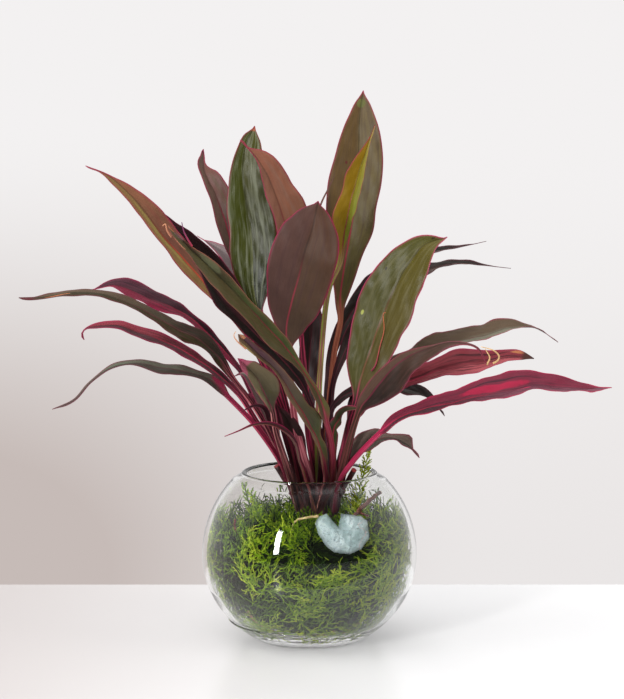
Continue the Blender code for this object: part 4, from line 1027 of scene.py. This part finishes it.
# The left shoot leans out over the rim. Its long leaves arch to the left with drooping tips, and a short
# folded leaf in front has a bright pink tip.
add_cane("shoot_left", ((-4, -6, 31), (-6, -6, 130), (-17, -13, 178)),
         ((3.4, (-12, -10, 160), (-38, -20, 205)),))
LEFT_LEAVES = (
    ("far_left", (0.403, 8, -60, (0.2, -0.6, 0.8), (-0.1, -0.55, 0.85)),
     ((-10, -9, 150), (-28, -27, 208), (-45, -35, 247), (-65, -42, 281), (-85, -47, 308), (-103, -50, 334),
      (-125, -53, 354), (-153, -54, 368), (-179, -53, 383), (-206, -52, 396), (-236, -49, 405),
      (-267, -45, 406), (-298, -43, 401), (-328, -40, 400)),
     ((3.4, 7, 10.5, 9.6, 15.7, 9.4, 8.5, 6.5, 5.8, 7.3, 4.8, 5.7, 4.6, 0.3),
      (3.4, 5.4, 10.3, 14.2, 12.6, 11, 8.8, 8, 6.1, 4.8, 4.5, 0.8, 0.5, 0.3)),
     # Its grey-olive is partly painted sheen over the blade's own colour.
     dict(foot=(40, 36, 27), tip=(93, 82, 62), left=(51, 45, 20), streak=(92, 40, 48), streaks=0.35,
          stripe=(206, 110, 120), rib=(90, 48, 48), margin=(112, 50, 62), dead=(84, 30, 34), gloss=0.3,
          marks=((0.84, -1.5, 0.05, 1.3, (196, 116, 76)),))),
    ("purple_arch", (0.456, 10, 50, (0.3, -0.5, 0.8), (0, -0.6, 0.8)),
     ((-8, -5, 150), (-28, -9, 198), (-67, 3, 287), (-80, 5, 313), (-99, 7, 335), (-120, 8, 357),
      (-142, 8, 376), (-168, 6, 389), (-195, 4, 401), (-222, 3, 411), (-251, 2, 406)),
     ((3.4, 6.4, 6.9, 7, 7.6, 8.4, 12.1, 15.6, 15.5, 13.1, 3.2, 1.7, 0.8, 0.3),
      (3.4, 3.6, 5.5, 7.8, 8.1, 6.9, 12, 14.2, 15.2, 13.3, 9.6, 4.8, 0.8, 0.3)),
     dict(foot=(28, 8, 12), tip=(84, 42, 54), left=(118, 20, 48), streak=(36, 20, 28), streaks=0.7,
          stalk=(50, 16, 26), stripe=(120, 34, 60), gloss=0.3)),
    ("crimson_hook", (0.403, 10, 0, (0.3, -0.5, 0.8), (-0.3, -0.7, 0.6)),
     ((-9, -7, 150), (-31, -17, 207), (-61, -14, 256), (-75, -12, 279), (-86, -11, 292), (-98, -10, 303),
      (-111, -10, 314), (-125, -10, 324), (-139, -10, 333), (-153, -10, 341), (-168, -10, 348),
      (-184, -10, 354), (-200, -10, 359), (-216, -10, 365), (-232, -10, 366), (-247, -10, 364.5),
      (-256, -10, 362.5), (-260.5, -10, 357), (-258.4, -10, 349)),
     ((3, 4.2, 5.8, 6.9, 7.9, 8.1, 8.4, 10, 7.2, 4.3, 3.5, 1.9, 0.8, 0.3),
      (3, 4.2, 5.8, 8, 7.8, 8.4, 8.5, 9.3, 8, 6.2, 4.1, 0.5, 2, 0.3)),
     dict(foot=(37, 15, 19), tip=(151, 58, 70), left=(76, 41, 46), streak=(48, 30, 32), streaks=0.7,
          stripe=(206, 70, 104), gloss=0.3, marks=((0.985, 0, 0.03, 3, (70, 40, 34)),))),
    ("low_grey", (0.438, 8, -90, (0.3, -0.5, 0.8), (-0.3, -0.6, 0.8)),
     ((-11, -10, 150), (-28, -32, 203), (-57, -52, 252), (-90, -57, 289), (-111, -55, 308), (-138, -53, 317),
      (-166, -50, 321), (-194, -46, 326), (-223, -42, 321), (-247, -40, 305), (-267, -37, 284),
      (-293, -33, 272)),
     ((2, 7.4, 9.9, 7.5, 8.1, 11.4, 5.5, 0.9, 2.1, 1.8, 3, 3.7, 2, 0.3),
      (2, 8.6, 9.7, 6.8, 9.2, 8.3, 5.9, 5.2, 2.3, 2.3, 1.3, 0.8, 0.5, 0.3)),
     # Its grey is partly painted sheen over the blade's own colour.
     dict(foot=(84, 81, 70), tip=(103, 112, 93), left=(61, 59, 50), streak=(96, 46, 52), stalk=(150, 34, 72),
          rib=(80, 58, 56), margin=(116, 50, 68), marks=((0.09, 5, 0.05, 4, (150, 30, 70)),))),
    ("pink_tip", (0.632, 42, -50, (0.5, -0.8, 0.3), (0.3, -0.9, 0.4)),
     ((-12, -12, 150), (-21, -32, 190), (-37, -56, 247), (-41, -69, 274), (-47, -72, 288), (-53, -73, 301),
      (-60, -73, 314), (-70, -71, 325), (-80, -68, 334)),
     ((3.4, 4.3, 7.7, 10.3, 16.4, 18.8, 21, 24.2, 24.2, 19.9, 18.1, 17.7, 17.1, 0.3),
      (3.4, 4.2, 7.8, 13, 17.4, 21, 21.3, 18.7, 14.3, 11.9, 6.1, 3.5, 2.8, 0.3)),
     dict(foot=(84, 78, 52), tip=(120, 104, 78), left=(126, 116, 88), streak=(104, 92, 66), streaks=0.35,
          stripe=(196, 120, 120), rib=(150, 60, 80), gloss=0.3, marks=((0.9, -4, 0.1, 17, (200, 100, 128)),
          (0.97, 4, 0.05, 10, (206, 96, 130)), (0.5, -17, 0.05, 2, (150, 150, 60))))),
    ("crimson_flap", (0.5, 24, 10, (-0.2, -0.8, 0.5), (0, -0.5, 0.9)),
     ((-11, -8, 152), (-26, -17, 195), (-40, -25, 240), (-54, -27, 277), (-82, -26, 289)),
     24, dict(foot=(70, 20, 36), tip=(120, 30, 60), left=(60, 20, 34), streak=(40, 16, 24), streaks=0.5,
          **SHADED_DARK_EDGES)),
    ("thin_curl", (0.6, 20, -30, (0.1, -0.8, 0.5), (0, -0.5, 0.9)),
     ((-12, -11, 155), (-27, -35, 205), (-40, -46, 248), (-50, -50, 272), (-62, -51, 278), (-78, -51, 271)),
     10, dict(foot=(60, 26, 34), tip=(40, 24, 26), left=(60, 26, 34), streak=(30, 16, 18), streaks=0.4,
          **SHADED_DARK_EDGES)),
    ("grey_curl", (0.5, 24, -10, (0.1, -0.8, 0.5), (0, -0.8, 0.6)),
     ((-11, -10, 150), (-28, -24, 200), (-44, -34, 260), (-57, -37, 290), (-74, -36, 312), (-88, -35, 309)),
     # Its grey is partly painted sheen over the blade's own colour.
     22, dict(foot=(96, 84, 78), tip=(150, 140, 132), left=(110, 92, 88), streak=(80, 50, 54))),
)
for name, *leaf in LEFT_LEAVES:
    add_leaf("shoot_left", name, *leaf)

# The back left shoot holds the large tan blade that points up to the left, and the glossy green blade that
# stands upright behind the middle of the plant, with a mauve blade and a blade painted near-black, its own
# dark colour deepened by painted shade, beside them.
add_cane("shoot_back_left", ((0, 13, 31), (-1, 13, 130), (-6, 13, 182)))
BACK_LEFT_LEAVES = (
    ("tan_blade", (0.451, 12, -25, (-0.1, -0.8, 0.6), (0, -0.8, 0.6)),
     ((-3, 13, 150), (-22, 2, 237), (-44, -7, 300), (-71, -18, 356), (-89, -23, 380), (-109, -28, 403),
      (-127, -32, 426), (-147, -36, 449), (-166, -39, 471), (-183, -42, 495), (-202, -43, 517),
      (-224, -43, 536), (-250, -45, 548)),
     ((3.4, 5, 4.7, 5.8, 9.3, 12.6, 9.7, 8.6, 8.7, 7.3, 6.3, 1.1, 1.6, 0.3),
      (3.4, 5.8, 10.1, 12.7, 13.4, 14.9, 16.7, 17.1, 13.6, 8.8, 2.6, 1.4, 0.7, 0.3)),
     dict(foot=(91, 56, 48), tip=(130, 86, 60), left=(124, 98, 58), streak=(120, 52, 46), streaks=0.35,
          rib=(176, 66, 44), gloss=0.22, marks=((0.55, -3, 0.2, 1.6, (134, 116, 62)),))),
    ("black_blade", (0.553, 18, 15, (0, -0.9, 0.5), (0, -0.8, 0.6)),
     ((-3, 13, 150), (-29, 14, 255), (-52, 13, 318), (-64, 9, 358), (-81, 5, 381), (-97, 1, 406),
      (-113, -4, 430), (-130, -9, 453), (-149, -14, 474), (-168, -17, 496)),
     ((3.4, 7.2, 7.6, 8.2, 10.1, 11.3, 12.4, 12.9, 12.9, 11.7, 8.7, 6.3, 2.5, 0.3),
      (3.4, 6.6, 11.7, 15.4, 17.2, 18.1, 17.2, 14.6, 11.3, 8.7, 4.7, 2.9, 1.2, 0.3)),
     dict(foot=(26, 22, 18), tip=(44, 22, 24), left=(22, 20, 14), streak=(60, 20, 30), stalk=(36, 14, 20),
          stripe=(96, 28, 46), **SHADED_DARK_EDGES)),
    ("mauve_hook", (0.588, 22, 80, (0.2, -1, 0.1), (0.4, -0.9, 0.2)),
     ((-3, 14, 150), (-40, 21, 275), (-60, 28, 345), (-74, 33, 402), (-83, 32, 431), (-91, 29, 459),
      (-99, 25, 488), (-109, 21, 515), (-121, 17, 542), (-122, 20, 567)),
     ((3.4, 5.1, 5.5, 6.5, 10.2, 13.1, 13.1, 10.9, 9.8, 6.9, 9.2, 4.9, 2.9, 0.3),
      (3.4, 5.1, 7.1, 8.9, 11.5, 13.9, 16, 18.3, 17, 13, 3.4, 1.9, 0.8, 0.3)),
     dict(foot=(81, 59, 55), tip=(111, 73, 65), left=(94, 71, 61), streak=(74, 80, 50), streaks=0.4,
          stalk=(44, 16, 24), stripe=(104, 36, 54), gloss=0.22, marks=((0.985, 0, 0.025, 3,
          (30, 20, 20)),))),
    ("grey_back", (0.5, 24, 100, (0.1, -0.9, 0.4), (0, -0.6, 0.8)),
     ((-3, 15, 150), (-32, 28, 262), (-54, 38, 338), (-74, 44, 400), (-94, 48, 440), (-132, 50, 466)),
     # Its grey is partly painted sheen over the blade's own colour.
     34, dict(foot=(104, 92, 90), tip=(140, 124, 124), left=(96, 82, 82), streak=(80, 60, 60))),
    ("green_gloss", (0.459, 10, 40, (-0.2, -1, 0.1), (0, -1, 0.1)),
     ((-2, 12, 150), (-17, 9, 225), (-35, 11, 300), (-55, 12, 353), (-60, 12, 380), (-65, 12, 407),
      (-66, 13, 434), (-67, 12, 461), (-70, 10, 489), (-74, 6, 516), (-76, 1, 542), (-73, -4, 569),
      (-62, -8, 593)),
     ((2.4, 7.3, 11.2, 14.9, 22.5, 26.2, 23.7, 24.4, 19, 13.7, 8.8, 6.9, 1.6, 0.3),
      (2.4, 3.3, 6.9, 18.3, 28.6, 33.1, 32.1, 30.2, 30.5, 28.1, 22.2, 15.6, 4.4, 0.3)),
     # Its pale streaks are painted sheen.
     dict(foot=(26, 34, 6), tip=(72, 72, 14), left=(64, 70, 14), streak=(140, 144, 122), streaks=0.5,
          rib=(96, 100, 50), margin=(150, 34, 72), gloss=0.45, marks=((0.985, 0, 0.012, 3,
          (170, 90, 50)),))),
)
for name, *leaf in BACK_LEFT_LEAVES:
    add_leaf("shoot_back_left", name, *leaf)

# The front shoot carries the broad purple blade in the middle, whose tip draws out into a thread, and the
# long olive blades that cross in front of it down to the left.
add_cane("shoot_front", ((9, -13, 31), (10, -14, 130), (10, -25, 180)))
FRONT_LEAVES = (
    ("small_arch", (0.252, 28, -60, (0.6, -0.5, 0.6), (0, -0.5, 0.9)),
     ((9, -18, 150), (-4, -40, 198), (-11, -51, 217), (-16, -59, 236), (-28, -66, 251), (-44, -74, 260),
      (-62, -83, 261), (-78, -87, 255), (-94, -88, 249)),
     ((3, 4.5, 5.5, 5, 3.6, 1.8, 0.8, 0.3),
      (3, 4.5, 5.5, 5, 3.6, 1.8, 0.8, 0.3),
      (0, 0.1, 0.25, 0.45, 0.65, 0.8, 0.92, 1)),
     dict(foot=(50, 38, 34), tip=(52, 34, 32), left=(92, 100, 40), streak=(50, 32, 32))),
    ("olive_front", (0.282, 34, -50, (0.7, -0.6, 0.3), (0.3, -0.8, 0.5)),
     ((11, -18, 150), (26, -25, 188), (26, -37, 230), (20, -48, 257), (11, -59, 290), (-6, -67, 318),
      (-25, -74, 345), (-46, -80, 369), (-68, -84, 393), (-89, -86, 416), (-111, -87, 438), (-134, -86, 460),
      (-155, -88, 483)),
     ((3.4, 11.3, 13.7, 12.6, 16.7, 33.4, 39, 36, 34.3, 24.6, 17.2, 13.8, 8, 0.3),
      (3.4, 9, 4.2, 3.3, 5.3, 8, 8.5, 7.8, 8.7, 8.1, 3.7, 2.5, 0.1, 0.3)),
     dict(foot=(88, 106, 48), tip=(62, 56, 36), left=(72, 67, 37), streak=(96, 52, 50), stalk=(150, 40, 64),
          stripe=(182, 70, 92), margin=(140, 82, 68), marks=((0.985, 0, 0.025, 2.5, (206, 130, 90)), (0.94,
          -12, 0.05, 1.6, (196, 128, 96)), (0.88, 5, 0.014, 2, (206, 124, 84)), (0.95, 2, 0.03, 5,
          (146, 108, 112)), (0.8, 4, 0.06, 4, (92, 94, 66))))),
    ("black_under", (0.426, 20, -30, (0.5, -0.8, 0.3), (0.3, -0.8, 0.5)),
     ((10, -18, 150), (14, -25, 230), (-4, -42, 293), (-19, -48, 317), (-38, -53, 339), (-58, -57, 358),
      (-78, -60, 378), (-97, -62, 398), (-112, -61, 421), (-130, -60, 442)),
     ((3.4, 7.1, 8.4, 10.3, 9.7, 11.3, 12.6, 13, 14.4, 10.9, 8.2, 2.6, 0.1, 0.3),
      (3.4, 6.3, 10, 9.6, 9.7, 11.8, 12.8, 13.6, 13.5, 10.7, 8, 6.4, 3.6, 0.3)),
     dict(foot=(26, 20, 18), tip=(60, 24, 30), left=(22, 18, 14), streak=(60, 22, 30), stalk=(36, 14, 20),
          stripe=(96, 28, 46), **SHADED_DARK_EDGES)),
    ("peach_edge", (0.222, 26, -60, (0.7, -0.6, 0.3), (0.3, -0.8, 0.4)),
     ((10, -19, 150), (19, -31, 186), (18, -35, 205), (10, -46, 236), (-4, -56, 265), (-20, -63, 292),
      (-36, -68, 319), (-58, -77, 341), (-79, -78, 362)),
     ((2.1, 5.4, 3.2, 7.6, 12, 12.1, 11.9, 6.8, 4.9, 6.7, 7.5, 8.7, 8.4, 0.3),
      (2.1, 7.6, 8.9, 6.6, 15.9, 12, 11.5, 8.8, 6.4, 7.3, 6.5, 5.4, 3.2, 0.3)),
     dict(foot=(71, 79, 37), tip=(94, 58, 69), left=(113, 91, 68), streak=(76, 50, 50), streaks=0.35,
          margin=(130, 96, 70), marks=((0.86, -8, 0.12, 2.4, (186, 172, 96)), (0.975, 2, 0.02, 3,
          (206, 140, 100))))),
    ("purple_front", (0.509, 10, 0, (0.2, -1, 0.1), (-0.2, -1, 0)),
     ((9, -19, 150), (-2, -26, 200), (-16, -28, 255), (-24, -33, 335), (-26, -38, 365), (-20, -48, 395),
      (-12, -55, 424), (-5, -59, 453), (4, -58, 481), (10, -52, 509)),
     ((2.8, 3.7, 6, 14.9, 25.4, 31.2, 36.3, 37.8, 36.3, 33, 25.1, 16, 3.5, 0.3),
      (2.8, 6.6, 17.9, 24.2, 32.1, 35.3, 36.8, 38.2, 39, 33.7, 22.3, 12.8, 2.8, 0.3)),
     dict(foot=(80, 62, 48), tip=(78, 50, 34), left=(85, 59, 52), streak=(66, 44, 44), streaks=0.35,
          stalk=(140, 60, 74), stripe=(206, 120, 128), rib=(150, 52, 66), gloss=0.05)),
    ("purple_thread", (0.05, 10, 0, (0, -1, 0), (0, -1, 0)),
     ((7, -57, 488), (14, -51, 508), (21, -44, 522), (29, -36, 538)),
     1.6, dict(foot=(110, 74, 66), tip=(120, 84, 74), left=(104, 70, 64), streak=(66, 44, 44), streaks=0.2,
          rib=(110, 74, 66), margin=(96, 66, 58))),
    ("dark_pair", (0.42, 20, 0, (0.3, -0.9, 0.2), (0.3, -0.8, 0.4)),
     ((9, -17, 155), (-5, -21, 205), (-14, -27, 236), (-26, -30, 260), (-39, -31, 280)),
     20, dict(foot=(40, 28, 26), tip=(52, 30, 30), left=(40, 28, 24), streak=(80, 30, 40), **SHADED_DARK_EDGES)),
)
for name, *leaf in FRONT_LEAVES:
    add_leaf("shoot_front", name, *leaf)

# The back shoot is the tallest. Its olive-brown blade stands upright with a folded lime blade before it,
# whose bright lime is partly painted light shining through it. A salmon blade arches to the left, and two
# blades painted dark, their own colour deepened by painted shade, reach out behind to the right.
add_cane("shoot_back", ((17, 12, 31), (17, 12, 130), (15, 15, 182)))
BACK_LEAVES = (
    ("salmon_arch", (0.473, 14, 10, (0.2, -1, 0.2), (0.3, -0.8, 0.5)),
     ((16, 13, 150), (0, 12, 230), (-5, 9, 300), (-10, 6, 359), (-13, 4, 389), (-16, 2, 418), (-20, -2, 447),
      (-26, -7, 476), (-35, -12, 504), (-45, -17, 531), (-59, -23, 556), (-78, -28, 577)),
     ((3.4, 4.5, 6.1, 8.8, 11.7, 14, 14, 12, 12.7, 8.7, 2.3, 1.3, 0.6, 0.3),
      (3.4, 6.7, 10.7, 15.1, 19.3, 23.4, 27.1, 29.1, 24.2, 20.4, 13.2, 1.6, 2.1, 0.3)),
     dict(foot=(107, 82, 61), tip=(139, 86, 66), left=(132, 88, 70), streak=(122, 94, 80), streaks=0.5,
          gloss=0.1)),
    ("tallest", (0.439, 12, 70, (0.1, -1, 0.1), (-0.1, -1, 0.2)),
     ((16, 14, 150), (20, 19, 223), (28, 28, 321), (36, 31, 366), (36, 30, 396), (40, 30, 427),
      (45, 30, 456), (50, 30, 486), (54, 28, 516), (56, 25, 546), (57, 23, 575), (58, 22, 605),
      (62, 22, 634)),
     ((2, 5.1, 7.5, 14.5, 23.5, 30.6, 34.5, 34.6, 28.5, 21.6, 13.3, 7.9, 2.5, 0.3),
      (2, 4.2, 10.2, 15, 19.6, 26.9, 26.3, 29.7, 30.1, 26.1, 19.2, 11.1, 2.8, 0.3)),
     dict(foot=(86, 78, 41), tip=(103, 88, 60), left=(93, 72, 41), streak=(72, 56, 46), streaks=0.5,
          stalk=(150, 78, 58), stripe=(190, 116, 88), marks=((0.94, 0, 0.02, 5, (96, 100, 50)), (0.68, -14,
          0.008, 1.4, (90, 30, 34))))),
    ("lime_fold", (0.638, 48, 20, (-0.5, -0.9, 0), (-0.6, -0.8, 0.2)),
     ((15, 12, 150), (10, 6, 225), (13, 1, 318), (21, -1, 400), (35, -3, 436), (40, -6, 469), (46, -8, 501),
      (54, -12, 532), (64, -18, 563), (74, -20, 594)),
     ((3.2, 3.7, 4.9, 9.2, 17.9, 17.2, 15, 14.3, 11.4, 7, 2.6, 0.5, 0.2, 0.3),
      (3.2, 3.6, 4.5, 12.8, 27.6, 37.7, 40.7, 40.8, 37.4, 30.4, 23.2, 11.2, 6.5, 0.3)),
     # Its bright lime is partly painted light: light shining through the blade from behind.
     dict(foot=(120, 132, 40), tip=(140, 128, 34), left=(150, 118, 24), streak=(120, 104, 20),
          stalk=(150, 74, 84), stripe=(150, 166, 72))),
    ("dark_shelf", (0.34, 16, 100, (-0.3, -0.6, 0.7), (0, -0.1, 1)),
     ((18, 16, 150), (19, 21, 252), (26, 30, 327), (57, 38, 388), (89, 42, 420), (125, 44, 442),
      (181, 45, 454), (207, 44, 460)),
     32, dict(foot=(34, 26, 22), tip=(72, 52, 44), left=(30, 24, 20), streak=(80, 44, 34), **SHADED_DARK_LEAF)),
    ("dark_ledge", (0.34, 16, 60, (-0.3, -0.6, 0.7), (0, -0.1, 1)),
     ((20, 14, 150), (24, 14, 253), (32, 14, 311), (73, 18, 389), (106, 18, 410), (141, 18, 428),
      (176, 17, 435), (233, 15, 430)),
     36, dict(foot=(40, 30, 26), tip=(84, 60, 50), left=(34, 26, 22), streak=(90, 40, 40), **SHADED_DARK_LEAF)),
    ("dark_centre", (0.36, 16, 60, (0, -1, 0.1), (0.2, -0.9, 0.3)),
     ((14, 17, 150), (3, 24, 240), (-1, 30, 304), (3, 37, 362), (-2, 42, 395), (-11, 46, 422)),
     30, dict(foot=(36, 24, 24), tip=(40, 28, 26), left=(28, 20, 18), streak=(90, 30, 40), **SHADED_DARK_LEAF)),
)
for name, *leaf in BACK_LEAVES:
    add_leaf("shoot_back", name, *leaf)

# The right shoot has a broad glossy olive blade, and below it crimson and brown blades that arch far out to
# the right, one above the other.
add_cane("shoot_right", ((27, -3, 31), (27, -4, 130), (32, -9, 178)),
         ((3.2, (30, -10, 158), (51, -38, 203)),))
RIGHT_LEAVES = (
    ("olive_gloss", (0.368, 12, 0, (-0.4, -0.9, 0.3), (-0.2, -0.8, 0.6)),
     ((28, -5, 150), (36, -9, 204), (46, -17, 255), (53, -20, 279), (59, -23, 307), (68, -26, 334),
      (77, -28, 361), (87, -30, 387), (98, -32, 413), (112, -33, 438), (130, -33, 459), (156, -30, 468)),
     ((3.4, 6.8, 15.3, 23.8, 28.4, 32.5, 34.6, 32.5, 29.1, 22.4, 14.1, 5.8, 0.3, 0.3),
      (3.4, 6.5, 12.9, 21.9, 31, 35, 38.7, 35.5, 33.3, 29.5, 21.7, 9.3, 3.3, 0.3)),
     # Its pale streaks are painted sheen.
     dict(foot=(84, 74, 36), tip=(86, 78, 24), left=(74, 72, 18), streak=(124, 118, 86), streaks=0.25,
          stalk=(60, 22, 30), rib=(120, 76, 50), margin=(206, 62, 118), gloss=0.45, marks=((0.93, -3, 0.01,
          1.2, (40, 34, 20)), (0.68, -19, 0.008, 1.2, (40, 34, 20)), (0.44, -24, 0.014, 2,
          (170, 176, 70))))),
    ("brown_fold", (0.392, -14, -80, (-0.3, -0.85, 0.35), (0, -0.6, 0.8)),
     ((29, -8, 150), (33, -23, 184), (54, -57, 268), (69, -64, 292), (86, -69, 315), (106, -71, 334),
      (132, -74, 346), (158, -77, 353), (185, -77, 348), (198, -71, 328)),
     ((3.4, 6.5, 12, 15, 13, 11.5, 9, 6, 3, 2.4, 2.2, 1.8, 1.1, 0.3),
      (3.4, 6, 11, 19, 24, 24, 21, 17, 11, 5.5, 2.2, 1.4, 0.9, 0.3),
      (0, 0.05, 0.12, 0.2, 0.3, 0.38, 0.47, 0.56, 0.67, 0.75, 0.83, 0.9, 0.96, 1)),
     dict(foot=(38, 26, 22), tip=(82, 60, 48), left=(82, 62, 50), streak=(84, 54, 50), streaks=0.35,
          stalk=(52, 36, 24), stripe=(120, 60, 60), rib=(104, 34, 54), margin=(140, 44, 70))),
    ("crimson_right", (0.355, 24, -30, (-0.3, -0.7, 0.6), (0, -0.6, 0.8)),
     ((30, -7, 150), (36, -16, 182), (54, -38, 264), (73, -42, 284), (96, -45, 298), (121, -47, 308),
      (147, -48, 318), (173, -50, 323), (200, -51, 327), (227, -50, 333), (253, -52, 332)),
     ((3.4, 4.4, 8.3, 10.3, 13.5, 15.8, 16, 21.2, 18, 12.4, 11.9, 8.3, 3.3, 0.3),
      (3.4, 8.4, 8.1, 11.4, 10.6, 14.2, 16.3, 18.8, 21.3, 14.3, 11.4, 8.2, 1.8, 0.3)),
     dict(foot=(82, 12, 25), tip=(178, 87, 93), left=(130, 47, 56), streak=(44, 22, 26), streaks=0.85,
          dead=(70, 40, 34), marks=((0.93, -7, 0.05, 2, (176, 110, 70)),))),
    ("grey_arch", (0.322, 16, 70, (-0.3, -0.4, 0.9), (0.2, -0.2, 1)),
     ((28, -2, 150), (33, 1, 197), (46, 3, 249), (49, 2, 280), (70, 0, 301), (94, -2, 319), (120, -5, 332),
      (147, -7, 342), (176, -8, 348), (204, -10, 355), (232, -11, 363), (261, -9, 362), (286, -6, 346)),
     ((3.4, 11.4, 15, 15.7, 12.3, 18.3, 23.3, 23.6, 21, 13.1, 2.3, 1.3, 4.2, 0.3),
      (3.4, 14.4, 15.4, 16.9, 10.1, 21, 26.8, 21, 14, 10.5, 7.7, 1.4, 4.2, 0.3)),
     # Its grey is partly painted sheen over the blade's own colour.
     dict(foot=(68, 73, 50), tip=(134, 128, 110), left=(93, 76, 58), streak=(80, 60, 54), stalk=(50, 20, 28),
          stripe=(124, 40, 62), margin=(170, 50, 84))),
    ("long_low", (0.334, 20, -94, (-0.4, -0.5, 0.8), (0, -0.4, 0.9)),
     ((29, -10, 150), (32, -38, 186), (49, -53, 216), (78, -69, 250), (102, -76, 269), (130, -78, 279),
      (160, -76, 285), (189, -73, 292), (219, -69, 297), (249, -64, 302), (280, -59, 300), (311, -54, 298),
      (340, -58, 300)),
     ((2, 8.8, 11.4, 12.1, 14.4, 16.7, 25.3, 25, 19, 15.6, 9.6, 2.6, 1.1, 0.3),
      (2, 12.7, 9.2, 10.5, 15.4, 14.5, 22.2, 21.1, 18.9, 17.9, 8.4, 14.6, 7.2, 0.3)),
     dict(foot=(80, 38, 48), tip=(128, 68, 84), left=(116, 36, 56), streak=(52, 30, 40), streaks=0.85,
          stalk=(160, 30, 70), stripe=(196, 60, 96), margin=(196, 34, 84), marks=((0.52, -7, 0.14, 5,
          (166, 26, 62)), (0.64, 4, 0.03, 3, (196, 40, 84)), (0.2, 6, 0.14, 6, (64, 40, 46))))),
    ("grey_droop", (0.305, 20, -20, (-0.6, -0.5, 0.6), (0.5, -0.4, 0.7)),
     ((30, -8, 152), (40, -18, 199), (53, -21, 218), (70, -24, 232), (91, -26, 238), (111, -27, 231),
      (126, -28, 215)),
     ((2.9, 3.8, 8.2, 14.9, 17.3, 18.6, 16.5, 6.9, 7.6, 10.9, 2.2, 2.7, 2.2, 0.3),
      (2.9, 8.7, 11.4, 11, 13.8, 21.1, 18.2, 9.2, 2.6, 10.3, 2.5, 3.1, 2.5, 0.3)),
     # Its grey is partly painted sheen over the blade's own colour.
     dict(foot=(66, 62, 52), tip=(92, 84, 76), left=(112, 96, 86), streak=(60, 50, 48),
          stalk=(120, 26, 56))),
    ("dark_droop", (0.438, 16, 30, (-0.3, -0.5, 0.8), (0.5, -0.3, 0.8)),
     ((27, -1, 150), (22, 2, 230), (27, 4, 270), (51, 4, 288), (80, 4, 293), (109, 2, 291), (137, 4, 281),
      (157, 4, 259)),
     ((3.4, 4, 6.2, 8.1, 10.8, 11.2, 11, 12.9, 13, 10, 6.5, 3, 3.5, 0.3),
      (3.4, 9.2, 10, 8.4, 9.9, 11.1, 12.4, 14.8, 10, 8, 5.5, 3, 3.8, 0.3)),
     dict(foot=(30, 26, 22), tip=(50, 42, 36), left=(28, 22, 20), streak=(70, 40, 40), stalk=(34, 14, 20),
          stripe=(80, 30, 44), **SHADED_DARK_EDGES)),
    ("green_nub", (0.4, 20, -30, (-0.3, -0.8, 0.4), (0.2, -0.5, 0.8)),
     ((29, -6, 155), (27, -8, 235), (34, -11, 256), (43, -13, 268), (67, -16, 270)),
     18, dict(foot=(58, 66, 34), tip=(66, 76, 40), left=(48, 52, 28), streak=(90, 50, 50), streaks=0.2)),
)
for name, *leaf in RIGHT_LEAVES:
    add_leaf("shoot_right", name, *leaf)

# The threads: torn edges and tips of some blades have dried and curled up. Each hangs on its leaf by its
# thick end, and is paler towards its free end.
THREAD_STEPS = 24
THREADS = (
    ("curl_purple", "shoot_front", 1.3, (112, 60, 108), (176, 50, 74),
     ((-136.7, -134, 488), (-134.5, -133, 478), (-130.2, -132, 469), (-126, -130, 462))),
    ("curl_peach_top", "shoot_front", 1.3, (214, 150, 110), (190, 120, 92),
     ((-157.4, -134, 484), (-154.1, -134, 486), (-152.5, -133, 479), (-148, -131, 472))),
    ("curl_peach_low", "shoot_front", 1.2, (226, 176, 140), (200, 130, 100),
     ((-79, -141, 371), (-81, -141, 366.5), (-77.5, -141, 360.5), (-68, -139, 352))),
    ("curl_magenta", "shoot_right", 0.9, (226, 120, 70), (150, 34, 76),
     ((86.5, -39, 383), (83.4, -39, 381), (84.5, -38, 363), (80, -37, 344), (75.5, -36, 324),
      (70.5, -34, 316))),
    ("curl_fold_long", "shoot_right", 1.2, (226, 186, 130), (206, 164, 112),
     ((184, -150, 355.5), (196.6, -152, 352), (203, -152, 346.2), (202, -151, 340.8), (197, -150, 337.5))),
    ("curl_fold_short", "shoot_right", 1.2, (226, 186, 130), (206, 164, 112),
     ((188.5, -150, 353), (193.3, -151, 344), (190.5, -150, 336))),
)
for name, shoot, thick, free, joined, waypoints in THREADS:
    finish = Finish(name, Roughness=0.5)
    grain = finish.noise(finish.place(), 700.0, 2.0)
    colour = finish.mix(finish.kept("tone"), paint(*free), paint(*joined))
    finish.set("Base Color", finish.shade(colour, 0.65 + grain * 0.6))
    route = smooth_route(waypoints, THREAD_STEPS)
    radii = thick * np.linspace(0.35, 1, THREAD_STEPS)
    group = (route[None], radii[None], 6, np.linspace(0, 1, THREAD_STEPS)[None])
    add_tubes(name, [group], finish, shoot, inside=False)
